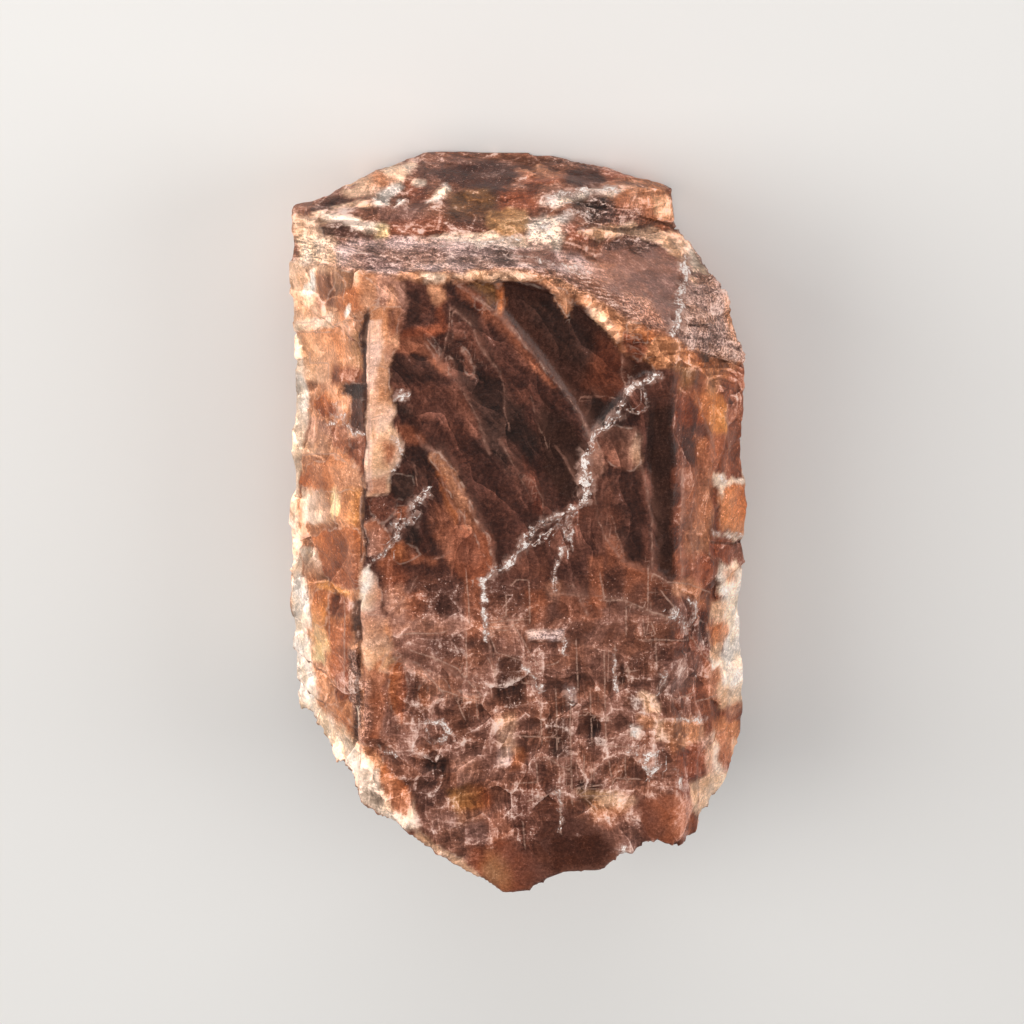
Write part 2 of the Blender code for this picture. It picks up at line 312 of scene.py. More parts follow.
def besideLine(x, y, points):
    # signed distance to the line, how far along it the nearest place is, and how far past its ends, in dots
    nearest = np.full(len(x), 1e9)
    signed = np.full(len(x), 1e9)
    along = np.zeros(len(x))
    past = np.zeros(len(x))
    run = 0.0
    last = len(points) - 2
    for number, ((ax, ay), (bx, by)) in enumerate(zip(points, points[1:])):
        wide, high = bx - ax, by - ay
        length = math.hypot(wide, high)
        raw = ((x - ax) * wide + (y - ay) * high) / length ** 2
        t = np.clip(raw, 0, 1)
        away = np.hypot(x - ax - t * wide, y - ay - t * high)
        side = ((x - ax) * high - (y - ay) * wide) / length
        closer = away < nearest
        nearest = np.where(closer, away, nearest)
        signed = np.where(closer, np.copysign(away, side), signed)
        along = np.where(closer, run + t * length, along)
        beyond = (raw < 0) & (number == 0) | (raw > 1) & (number == last)
        past = np.where(closer, np.where(beyond, np.abs(raw - t) * length, 0.0), past)
        run += length
    return signed, along, past, run


places, normals = pointsOf(body.data)
skin = Skin(places, normals)
print("view places found")

# colours of the stone, 0 to 255

tones = dict(
    body=(128, 73, 51),
    lower=(140, 98, 84),
    veiled=(81, 50, 42),
    glass=(68, 43, 36),
    deepGlass=(56, 40, 35),
    veil=(142, 94, 78),
    ridge=(170, 108, 82),
    mauve=(136, 100, 90),
    lavender=(206, 184, 182),
    pinkish=(196, 146, 126),
    tan=(213, 155, 121),
    paleTan=(234, 194, 164),
    cream=(250, 226, 204),
    white=(255, 240, 226),
    orange=(204, 126, 80),
    peach=(222, 154, 112),
    honey=(192, 132, 94),
    strip=(255, 212, 190),
    amber=(230, 160, 96),
    # glow is painted light: warm light shining through the stone, and bright glints
    glow=(253, 222, 174),
    rust=(152, 86, 60),
    deepRust=(118, 64, 48),
    brown=(116, 75, 63),
    darkBrown=(87, 57, 49),
    ochre=(188, 146, 106),
    olive=(148, 108, 66),
    topBack=(142, 98, 80),
    topFront=(204, 172, 164),
    terrace=(146, 106, 94),
    grain=(170, 136, 124),
    tip=(74, 43, 33),
    break_=(160, 108, 86),
)

# the lines that part one face from the next, in the main view's dots

topLine = [
    (280, 258), (295, 262), (330, 268), (362, 273), (400, 275), (450, 272), (480, 268), (520, 270), (548, 281),
    (575, 294), (600, 305), (628, 318), (650, 332), (672, 342), (700, 353), (722, 362), (760, 372),
]
above = [(760, 100), (280, 100)]
faces = dict(
    top=topLine + above,
    left=[(270, 266), (330, 268), (362, 273), (362, 745), (380, 780), (400, 800), (270, 860)],
    right=[(674, 342), (700, 353), (770, 372), (770, 860), (674, 860)],
)


def paintGround():
    lower = fade(560, 640, skin.roughY)
    skin.colour[:] = linear(tones["veiled"])
    skin.lay(lower, linear(tones["lower"]))
    skin.lay(skin.area(faces["left"], 2), linear(tones["tan"]))
    skin.lay(skin.area(faces["right"], 5), linear(tones["body"]))
    top = skin.area(faces["top"], 3)
    skin.lay(top, linear(tones["topBack"]))
    hidden = fade(0.12, 0.0, skin.towards)
    foot = fade(-0.35, -0.6, skin.normals[:, 1]) * fade(0.3, 0.0, skin.towards)
    skin.lay(hidden, linear(tones["body"]), 0.35)
    skin.lay(foot, linear(tones["break_"]))
    skin.keep("foot", foot)
    skin.keep("calm", foot * 0)
    front = skin.area([(364, 277), (450, 276), (548, 285), (628, 322), (672, 345), (673, 860), (364, 860)], 4)
    front = front * (1 - foot)
    busy = fade(535, 630, skin.roughY - 0.15 * (skin.roughX - 520))
    skin.keep("lattice", front * busy * (0.65 + 0.35 * fade(640, 710, skin.roughY)))
    wall = skin.area([(671, 590), (716, 600), (714, 700), (704, 780), (672, 800)], 5) * (1 - foot)
    skin.keep("lattice", wall * 0.55 * fade(590, 640, skin.roughY))
    skin.keep("shell", front * fade(600, 540, skin.roughY))
    strip = skin.area([(364, 296), (390, 296), (391, 520), (388, 600), (386, 744), (356, 744)], 3) * (1 - foot)
    skin.drop("lattice", strip)
    skin.drop("shell", strip)
    left = np.maximum(skin.area(faces["left"], 3), strip) * (1 - foot)
    right = skin.area(faces["right"], 3) * (1 - foot)
    skin.keep("flute", np.maximum(left, right * 0.75) * (1 - 0.5 * strip))
    layered = [(290, 238), (400, 234), (520, 240), (600, 262), (650, 300), (640, 330), (540, 285), (290, 276)]
    band = skin.area(layered, 4)
    skin.keep("streak", top * (0.3 + 0.5 * band))
    skin.keep("knobs", top * (1 - band))
    skin.keep("speckle", top * (0.15 + 0.85 * band))


paintGround()


def pairs(numbers):
    return list(zip(numbers[::2], numbers[1::2]))


# each patch has a tone, its strength and the softness of its edge, and then its shape in dots: an outline's
# points, a box's left, top, right and bottom, or an oval's middle, half sizes and turn; a second tone takes
# over towards the way it leans, in degrees, and the lift is in mm


def patch(tone, strength, soft, *points, **more):
    return dict(tone=tone, strength=strength, soft=soft, outline=pairs(points), **more)


def boxPatch(tone, strength, soft, *sides, **more):
    return dict(tone=tone, strength=strength, soft=soft, box=sides, **more)


def ovalPatch(tone, strength, soft, *shape, **more):
    return dict(tone=tone, strength=strength, soft=soft, oval=shape, **more)


frontPatches = [
    # the dark glassy places
    patch("glass", 0.95, 2, 458, 284, 480, 300, 505, 322, 530, 350, 548, 372, 565, 395, 580, 415, 591, 437, 600,
        425, 622, 400, 640, 384, 655, 374, 640, 352, 622, 338, 604, 328, 585, 312, 560, 297, 520, 283,
        kind="calm", lift=-0.1),
    patch("deepGlass", 0.5, 12, 515, 300, 560, 298, 590, 330, 600, 372, 560, 360),
    patch("olive", 0.4, 4, 470, 286, 496, 286, 500, 304, 484, 304),
    patch("rust", 0.35, 10, 600, 340, 625, 350, 628, 392, 606, 398, 586, 386),
    patch("deepGlass", 0.8, 6, 540, 400, 575, 425, 588, 450, 584, 490, 566, 508, 548, 480, 536, 440,
        kind="calm"),
    boxPatch("deepGlass", 0.6, 4, 586, 398, 622, 424),
    patch("glass", 0.6, 7, 600, 470, 640, 460, 654, 500, 652, 575, 626, 562, 612, 520),
    patch("deepGlass", 0.75, 3, 646, 398, 672, 392, 673, 578, 657, 574, 655, 520, 648, 455, kind="calm",
        lift=-0.02),
    patch("glass", 0.8, 3, 393, 356, 412, 352, 428, 358, 440, 376, 444, 384, 420, 382, 394, 384),
    patch("deepGlass", 0.75, 2.5, 395, 398, 410, 400, 420, 410, 412, 416, 397, 414),
    patch("deepGlass", 0.7, 4, 450, 352, 462, 362, 478, 374, 500, 376, 508, 392, 520, 400, 538, 440, 530, 500,
        504, 470, 486, 430, 474, 404, 460, 382),
    patch("glass", 0.8, 2.5, 451, 301, 462, 298, 474, 310, 484, 328, 492, 348, 482, 344, 470, 324, 456, 312),
    ovalPatch("deepGlass", 0.5, 0.6, 505, 440, 22, 34, -60),
    patch("brown", 0.75, 3, 404, 282, 424, 284, 432, 296, 432, 320, 422, 328, 404, 330),
    patch("glass", 0.8, 2.5, 406, 292, 418, 290, 420, 324, 407, 328),
    patch("glass", 0.75, 2.5, 402, 444, 424, 448, 432, 466, 434, 486, 420, 492, 402, 472),
    patch("deepGlass", 0.85, 2, 393, 472, 411, 472, 412, 496, 404, 500, 394, 496),
    patch("deepGlass", 0.85, 2.5, 405, 528, 416, 526, 420, 540, 418, 551, 406, 542),
    patch("glass", 0.6, 5, 423, 520, 440, 516, 448, 548, 430, 552),
    # paler planes among them
    patch("brown", 0.75, 4, 393, 382, 430, 386, 456, 388, 474, 412, 482, 436, 470, 440, 440, 420, 420, 416, 396,
        396),
    patch("veil", 0.7, 2.5, 454, 384, 466, 398, 476, 418, 482, 438, 472, 434, 460, 412, 446, 390),
    patch("ridge", 0.6, 2.5, 398, 424, 412, 424, 420, 436, 424, 446, 404, 444, 397, 436),
    patch("ridge", 0.55, 2.5, 392, 340, 404, 334, 424, 336, 442, 360, 450, 376, 440, 372, 424, 356, 404, 350,
        393, 354),
    patch("mauve", 0.6, 2, 422, 334, 430, 334, 444, 350, 440, 356),
    patch("rust", 0.7, 2.5, 403, 330, 426, 326, 436, 318, 437, 300, 444, 300, 446, 330, 430, 338, 404, 338),
    patch("brown", 0.65, 2.5, 446, 308, 456, 312, 470, 326, 474, 342, 486, 360, 480, 362, 462, 344, 448, 338),
    patch("veil", 0.6, 2, 450, 316, 458, 318, 460, 340, 452, 342),
    patch("veil", 0.85, 1.8, 461, 348, 468, 352, 475, 366, 475, 379, 468, 374, 462, 360, lift=0.05),
    patch("veil", 0.65, 2, 447, 355, 455, 362, 456, 378, 449, 374, 446, 364),
    patch("ridge", 0.75, 2.2, 457, 280, 466, 284, 487, 306, 502, 317, 519, 338, 544, 368, 560, 388, 552, 388,
        530, 364, 508, 342, 490, 322, 474, 306, 460, 294),
    patch("deepRust", 0.8, 1.8, 472, 296, 480, 298, 484, 308, 476, 308),
    patch("brown", 0.5, 4, 476, 312, 494, 320, 514, 344, 536, 368, 530, 376, 506, 356, 488, 336),
    patch("brown", 0.6, 3, 512, 390, 528, 390, 528, 405, 514, 404),
    patch("orange", 0.55, 1.8, 495, 284, 503, 285, 502, 316, 496, 314),
    patch("olive", 0.45, 2.5, 472, 280, 493, 279, 494, 290, 480, 292),
    patch("brown", 0.6, 4, 502, 440, 516, 446, 534, 490, 528, 512, 516, 492),
    patch("deepRust", 0.4, 3, 520, 452, 534, 470, 544, 500, 538, 516, 528, 496),
    patch("ridge", 0.6, 4, 430, 500, 448, 504, 470, 516, 486, 536, 497, 566, 478, 580, 456, 572, 440, 548, 428,
        524),
    patch("tan", 0.7, 1.8, 428, 452, 439, 452, 446, 461, 458, 483, 470, 500, 472, 515, 486, 535, 496, 566, 488,
        566, 474, 534, 460, 512, 448, 492, 436, 468, second="ridge", leans=90, lift=0.1),
    patch("orange", 0.55, 2.2, 432, 460, 440, 470, 450, 496, 460, 514, 458, 524, 444, 500),
    patch("darkBrown", 0.5, 3, 424, 500, 436, 506, 440, 530, 428, 534),
    patch("mauve", 0.45, 4, 457, 536, 474, 530, 486, 552, 476, 570, 460, 562),
    patch("ridge", 0.8, 1.8, 393, 505, 408, 506, 404, 520, 396, 518),
    patch("orange", 0.75, 2, 388, 546, 404, 541, 418, 550, 420, 558, 400, 562, 388, 560, second="brown",
        leans=0),
    patch("ridge", 0.5, 2.5, 400, 559, 434, 556, 436, 562, 404, 565),
    patch("rust", 0.4, 6, 452, 530, 486, 532, 497, 566, 478, 580, 458, 574),
    patch("pinkish", 0.75, 2, 600, 428, 615, 425, 630, 428, 640, 440, 643, 462, 632, 471, 612, 464, 602, 450,
        second="veil", leans=150, lift=0.06),
    # a painted highlight along the knob's lower right edge
    ovalPatch("paleTan", 0.5, 0.6, 637, 450, 5, 15, -8),
    ovalPatch("darkBrown", 0.6, 0.8, 614, 440, 12, 14, 0),
    patch("brown", 0.6, 5, 640, 378, 674, 376, 674, 404, 648, 408),
    patch("brown", 0.8, 2, 630, 372, 643, 384, 645, 410, 632, 412, 626, 396, lift=0.1),
    patch("pinkish", 0.6, 3, 591, 445, 600, 440, 606, 470, 596, 486, 586, 474, lift=0.15),
    patch("veil", 0.6, 3, 600, 480, 612, 478, 622, 520, 614, 530, 604, 510),
    patch("veil", 0.55, 5, 560, 510, 584, 500, 596, 520, 580, 560, 560, 560, 550, 535),
    patch("veil", 0.5, 4, 598, 476, 604, 500, 610, 530, 614, 556, 600, 560, 592, 530, 588, 500),
    patch("ridge", 0.45, 3, 606, 536, 618, 532, 626, 558, 650, 566, 672, 586, 660, 590, 630, 580, 608, 572),
    patch("ridge", 0.55, 3, 589, 558, 604, 556, 606, 604, 590, 606),
    patch("ridge", 0.45, 3, 625, 562, 652, 572, 652, 606, 626, 602),
    patch("darkBrown", 0.65, 3, 606, 566, 622, 564, 622, 600, 607, 600),
    patch("brown", 0.7, 3, 640, 470, 650, 478, 654, 520, 654, 574, 646, 572, 642, 530),
    patch("veil", 0.45, 6, 505, 560, 530, 545, 550, 552, 548, 580, 520, 592, 500, 580),
    # the pale band between the seam and the front's dark part
    patch("tan", 0.9, 2.2, 356, 270, 384, 272, 388, 300, 372, 310, 358, 306, lift=0.1),
    patch("pinkish", 0.85, 2.2, 376, 274, 404, 274, 406, 300, 402, 330, 392, 344, 376, 320, lift=0.08),
    patch("tan", 0.95, 1.8, 366, 304, 398, 306, 400, 345, 391, 363, 389, 391, 395, 413, 390, 424, 401, 446, 400,
        460, 391, 473, 391, 492, 376, 497, 366, 494, second="paleTan", leans=90, lift=0.1, smooth=0.6,
        kind="calm"),
    patch("strip", 0.95, 1.8, 367, 322, 379, 320, 383, 340, 380, 364, 375, 392, 373, 440, 372, 494, 366, 494),
    patch("tan", 0.75, 2, 382, 330, 399, 334, 399, 346, 390, 362, 382, 352, second="pinkish", leans=90),
    patch("strip", 0.8, 2.2, 374, 404, 386, 402, 393, 414, 388, 426, 392, 440, 378, 444),
    patch("strip", 0.9, 1.5, 391, 436, 401, 446, 400, 460, 393, 470, 390, 460, 394, 450),
    patch("brown", 0.7, 3, 388, 304, 402, 306, 402, 330, 392, 336, second="ridge", leans=90),
    patch("ridge", 0.7, 2.5, 366, 478, 388, 474, 390, 492, 368, 494),
    patch("tan", 0.6, 2.2, 386, 284, 394, 284, 396, 304, 388, 308),
    patch("brown", 0.6, 2.2, 384, 306, 392, 310, 396, 326, 388, 330),
    boxPatch("tan", 0.55, 4, 372, 372, 388, 402),
    patch("paleTan", 0.6, 1.5, 380, 418, 390, 422, 400, 440, 401, 455, 392, 470, 384, 456, lift=0.1),
    ovalPatch("ridge", 0.8, 0.6, 388, 452, 6, 13, 0),
    patch("brown", 0.9, 2, 370, 496, 393, 493, 396, 508, 384, 524, 371, 514, lift=-0.12),
    patch("ridge", 0.9, 1.5, 366, 522, 378, 520, 395, 541, 380, 556, 366, 558, second="pinkish", leans=160,
        lift=0.12),
    patch("cream", 0.9, 1.8, 357, 596, 362, 572, 368, 566, 378, 580, 385, 600, 384, 616, 366, 614,
        second="pinkish", leans=0, lift=0.05, smooth=0.8, kind="calm"),
    patch("white", 0.7, 2, 357, 596, 362, 574, 369, 566, 372, 580, 366, 600, 364, 612, smooth=0.8, kind="calm"),
    patch("ridge", 0.6, 2.2, 375, 560, 392, 554, 406, 572, 404, 596, 388, 592, second="rust", leans=0),
    patch("pinkish", 0.6, 3, 386, 586, 400, 580, 412, 600, 404, 616, 388, 612),
    patch("ridge", 0.5, 2.5, 404, 592, 420, 590, 424, 612, 408, 620),
    patch("orange", 0.6, 2, 417, 684, 425, 682, 428, 704, 419, 708),
    patch("pinkish", 0.5, 2.5, 391, 648, 410, 660, 424, 672, 440, 692, 434, 700, 414, 680, 396, 664),
    patch("darkBrown", 0.4, 4, 392, 560, 412, 566, 424, 590, 404, 584),
    patch("tan", 0.85, 2.4, 365, 616, 390, 618, 392, 648, 384, 682, 380, 742, 362, 740, second="ridge",
        leans=90, lift=0.12, smooth=0.3),
    patch("paleTan", 0.75, 1.8, 362, 612, 380, 608, 389, 620, 384, 634, 392, 648, 380, 656, 373, 670, 362, 664,
        second="pinkish", leans=-90),
    patch("paleTan", 0.6, 2, 384, 652, 396, 660, 390, 672, 382, 668),
    patch("ridge", 0.6, 3, 371, 670, 386, 668, 386, 716, 376, 722),
    boxPatch("pinkish", 0.7, 2, 360, 680, 370, 740, kind="grain"),
    patch("orange", 0.7, 2, 388, 664, 402, 662, 408, 690, 400, 724, 390, 706, second="rust", leans=0),
    patch("darkBrown", 0.6, 3, 404, 670, 424, 676, 428, 700, 420, 734, 406, 716),
    # the lower half's broad marks
    patch("pinkish", 0.4, 5, 392, 612, 440, 618, 520, 620, 520, 634, 440, 632, 392, 640),
    patch("darkBrown", 0.65, 3, 423, 584, 456, 586, 458, 612, 430, 616),
    boxPatch("ridge", 0.55, 2.2, 466, 576, 484, 638),
    patch("darkBrown", 0.5, 4, 493, 578, 524, 578, 528, 602, 500, 604),
    patch("ridge", 0.5, 3, 556, 594, 600, 598, 606, 618, 575, 622, 560, 612),
    patch("darkBrown", 0.7, 3, 421, 636, 460, 634, 468, 656, 440, 664),
    patch("pinkish", 0.55, 2, 386, 646, 412, 660, 440, 676, 452, 690, 480, 696, 478, 702, 446, 698, 430, 682,
        400, 664),
    patch("glass", 0.8, 3, 497, 655, 520, 656, 524, 700, 510, 712, 499, 690),
    patch("darkBrown", 0.5, 4, 446, 700, 470, 704, 476, 730, 456, 742, 446, 724),
    patch("pinkish", 0.5, 2.5, 494, 712, 510, 712, 512, 732, 500, 736),
    patch("glass", 0.9, 2.5, 421, 756, 436, 750, 448, 760, 444, 776, 424, 774),
    patch("pinkish", 0.55, 3, 453, 758, 470, 754, 480, 780, 460, 788),
    boxPatch("lavender", 0.4, 3, 497, 749, 511, 764),
    boxPatch("orange", 0.6, 2.5, 511, 748, 524, 770),
    patch("darkBrown", 0.7, 5, 397, 774, 440, 776, 450, 800, 430, 812, 402, 800),
    patch("glass", 0.7, 2.5, 545, 716, 570, 716, 571, 759, 548, 758),
    patch("glass", 0.7, 3, 586, 718, 602, 718, 602, 745, 588, 745),
    patch("darkBrown", 0.8, 2.5, 577, 779, 604, 781, 604, 796, 580, 795),
    boxPatch("glass", 0.6, 2.5, 568, 670, 586, 680),
    boxPatch("darkBrown", 0.5, 3, 628, 586, 644, 612),
    patch("brown", 0.55, 3, 511, 764, 540, 762, 562, 776, 570, 796, 530, 800, 514, 786),
    patch("darkBrown", 0.7, 2, 649, 595, 664, 597, 672, 608, 664, 618, 650, 612),
    patch("darkBrown", 0.6, 4, 648, 636, 672, 634, 677, 660, 674, 692, 658, 694),
    patch("rust", 0.7, 4, 676, 640, 700, 640, 706, 672, 700, 694, 678, 690, second="brown", leans=180),
    patch("deepRust", 0.7, 2, 694, 624, 710, 624, 709, 656, 696, 650),
    patch("ridge", 0.6, 3, 696, 676, 724, 672, 722, 700, 700, 698),
    patch("darkBrown", 0.6, 4, 633, 655, 650, 650, 654, 700, 640, 708, 628, 690),
    boxPatch("glass", 0.7, 2, 617, 668, 628, 686),
    boxPatch("glass", 0.7, 2, 629, 697, 641, 711),
    patch("rust", 0.8, 4, 446, 790, 470, 784, 492, 796, 490, 822, 460, 826, second="olive", leans=180),
    ovalPatch("amber", 0.35, 0.8, 470, 806, 14, 12, -30),
    patch("ochre", 0.6, 4, 578, 788, 612, 790, 626, 812, 612, 828, 590, 818, second="ridge", leans=90),
    patch("paleTan", 0.35, 3, 592, 796, 620, 792, 640, 800, 622, 808, 600, 806),
    patch("paleTan", 0.6, 2, 642, 691, 656, 694, 657, 713, 643, 712, lift=0.05),
    patch("paleTan", 0.45, 3, 652, 716, 665, 718, 666, 738, 654, 740),
    patch("tan", 0.7, 2, 639, 715, 653, 716, 652, 730, 640, 728),
    # a painted glint
    boxPatch("white", 0.8, 1.5, 630, 726, 639, 736),
    patch("tan", 0.6, 4, 672, 720, 700, 722, 710, 744, 684, 748),
    patch("paleTan", 0.35, 5, 497, 720, 514, 714, 518, 752, 500, 762),
    patch("lavender", 0.75, 2, 528, 628, 548, 631, 566, 626, 565, 640, 530, 640, lift=0.08, kind="speckle"),
    patch("darkBrown", 0.4, 2.5, 532, 641, 560, 642, 558, 650, 536, 648),
    patch("pinkish", 0.5, 2.5, 545, 583, 560, 584, 558, 602, 547, 600),
    patch("ridge", 0.5, 2.5, 526, 590, 542, 587, 544, 618, 530, 622),
    patch("lavender", 0.6, 1.5, 567, 686, 577, 688, 576, 703, 568, 701, lift=0.05),
    # the broken foot
    patch("brown", 0.7, 9, 508, 790, 540, 786, 566, 800, 570, 840, 560, 872, 530, 880, 510, 850),
    patch("darkBrown", 0.8, 8, 536, 826, 566, 812, 600, 826, 618, 848, 608, 862, 560, 874, 536, 870,
        kind="calm"),
    patch("tip", 0.8, 6, 548, 836, 600, 832, 612, 850, 596, 868, 552, 870, kind="calm"),
    patch("brown", 0.5, 5, 516, 800, 528, 800, 530, 868, 520, 876),
    patch("rust", 0.85, 6, 466, 850, 500, 838, 530, 848, 540, 876, 520, 900, 490, 902, second="brown", leans=0,
        kind="calm"),
    patch("brown", 0.6, 4, 456, 836, 490, 832, 498, 850, 476, 862, 460, 852),
    ovalPatch("ochre", 0.5, 0.9, 494, 872, 10, 17, -20),
    patch("mauve", 0.75, 4, 435, 812, 490, 808, 500, 836, 460, 852, 430, 836),
    patch("ridge", 0.5, 4, 480, 816, 506, 812, 514, 836, 494, 842),
    patch("paleTan", 0.75, 2, 416, 828, 440, 846, 474, 870, 492, 886, 484, 892, 436, 858, 416, 840),
    patch("mauve", 0.85, 3, 621, 850, 628, 828, 652, 816, 658, 838, 640, 852),
    patch("brown", 0.85, 4, 642, 840, 646, 800, 690, 796, 694, 822, 684, 846, lift=0.1),
    patch("brown", 0.9, 3, 642, 798, 684, 794, 696, 822, 680, 842, 646, 840, second="ridge", leans=-30,
        kind="calm"),
    patch("deepRust", 0.7, 2.5, 679, 784, 690, 782, 690, 802, 681, 804),
    patch("rust", 0.8, 2.5, 680, 750, 700, 746, 702, 772, 692, 800, 680, 800, second="deepRust", leans=90),
]

leftPatches = [
    # from the grown end down
    patch("paleTan", 0.9, 2, 290, 262, 362, 272, 378, 285, 378, 306, 366, 313, 355, 319, 339, 326, 314, 325,
        290, 333, second="tan", leans=20, lift=0.3),
    patch("orange", 0.7, 2.4, 342, 292, 362, 284, 370, 296, 362, 310, 344, 318, 338, 304, smooth=0.5),
    patch("ridge", 0.65, 3, 318, 274, 334, 276, 338, 304, 322, 310),
    patch("white", 0.9, 1.5, 309, 292, 312, 270, 319, 268, 318, 290, 314, 300, lift=0.1),
    # a painted glint
    ovalPatch("white", 0.95, 0.4, 349, 311, 3.5, 5, 0),
    patch("cream", 0.75, 1.5, 296, 320, 334, 316, 334, 326, 296, 332),
    boxPatch("paleTan", 0.75, 3, 303, 332, 340, 382, second="peach", leans=-20, smooth=0.8),
    patch("olive", 0.65, 4, 338, 336, 363, 330, 364, 368, 340, 368, second="tan", leans=180, lift=-0.1,
        smooth=0.6),
    boxPatch("rust", 0.75, 3, 334, 366, 362, 383),
    patch("glass", 0.95, 2, 344, 384, 354, 381, 367, 381, 367, 400, 352, 398, 344, 394, smooth=0.9),
    patch("brown", 0.95, 2, 350, 398, 367, 396, 367, 434, 352, 430, second="darkBrown", leans=0, smooth=0.9),
    patch("orange", 0.85, 2, 310, 402, 322, 396, 336, 404, 338, 418, 322, 418, second="rust", leans=60,
        lift=0.1),
    patch("pinkish", 0.75, 3, 296, 420, 320, 420, 336, 430, 334, 452, 298, 456, second="paleTan", leans=120),
    patch("ridge", 0.75, 2, 330, 428, 346, 424, 350, 438, 342, 452, 332, 446),
    patch("rust", 0.85, 2, 346, 440, 364, 432, 364, 480, 356, 466, 346, 456, lift=-0.15),
    patch("orange", 0.85, 1.8, 299, 486, 308, 466, 335, 456, 350, 464, 360, 474, 360, 490, 320, 492,
        second="tan", leans=-20, lift=0.15, smooth=0.8),
    boxPatch("tan", 0.85, 3, 304, 490, 337, 524, second="cream", leans=160, lift=0.15, smooth=0.7),
    boxPatch("tan", 0.7, 2, 337, 488, 361, 524, second="amber", leans=0, lift=0.15),
    # a painted glint: a thin upright highlight
    ovalPatch("glow", 0.9, 0.5, 335, 504, 3, 15, 2),
    ovalPatch("cream", 0.9, 0.5, 321, 518, 3.5, 4, 0),
    patch("orange", 0.9, 1.5, 311, 538, 326, 530, 358, 528, 362, 546, 360, 586, 340, 592, 324, 576, 322, 556,
        second="ridge", leans=70, lift=0.14, smooth=0.6),
    patch("cream", 0.9, 1.5, 300, 545, 312, 548, 323, 562, 323, 578, 306, 572, second="tan", leans=70,
        lift=0.1),
    patch("amber", 0.85, 1.5, 315, 582, 330, 582, 354, 592, 350, 598, 318, 590, lift=0.1),
    patch("amber", 0.85, 2, 313, 590, 327, 590, 328, 626, 312, 626, second="orange", leans=-90, lift=0.1),
    boxPatch("rust", 0.8, 2, 328, 594, 350, 617),
    # a painted glow of light shining through the stone
    patch("glow", 0.95, 3, 311, 612, 318, 604, 326, 622, 328, 646, 324, 664, 315, 660, second="peach",
        leans=-50, smooth=0.8),
    patch("orange", 0.9, 3, 328, 618, 350, 618, 350, 680, 330, 680, second="rust", leans=20, smooth=0.5),
    patch("darkBrown", 0.8, 2.5, 350, 604, 362, 598, 362, 642, 352, 646, lift=-0.15),
    patch("rust", 0.8, 2, 333, 678, 350, 668, 353, 702, 338, 702),
    boxPatch("mauve", 0.8, 2, 350, 650, 359, 742, kind="grain"),
    patch("tan", 0.85, 1.5, 327, 702, 338, 706, 347, 722, 347, 740, 330, 740, second="orange", leans=90,
        lift=0.15, smooth=0.6),
    # the cream and white rim down the left edge: paler stone, with a painted glow of light shining through the
    # edge
    patch("cream", 0.85, 2.5, 290, 336, 301, 336, 304, 380, 308, 420, 301, 440, 298, 500, 302, 600, 311, 640,
        312, 690, 326, 720, 340, 745, 290, 760),
    patch("white", 0.7, 3, 294, 372, 304, 380, 308, 408, 296, 412),
    patch("white", 0.8, 3, 294, 571, 306, 576, 310, 612, 307, 650, 316, 690, 324, 730, 290, 700),
    patch("cream", 0.85, 4, 300, 690, 330, 712, 352, 742, 386, 772, 410, 800, 418, 826, 400, 834, 330, 780, 290,
        720),
    patch("white", 0.45, 4, 348, 746, 362, 744, 366, 770, 352, 772),
    patch("orange", 0.9, 2.5, 378, 766, 390, 760, 402, 780, 412, 800, 408, 818, 392, 812, 382, 790,
        second="ridge", leans=90),
    patch("tan", 0.85, 2, 362, 742, 378, 748, 384, 768, 372, 772, lift=0.12),
]

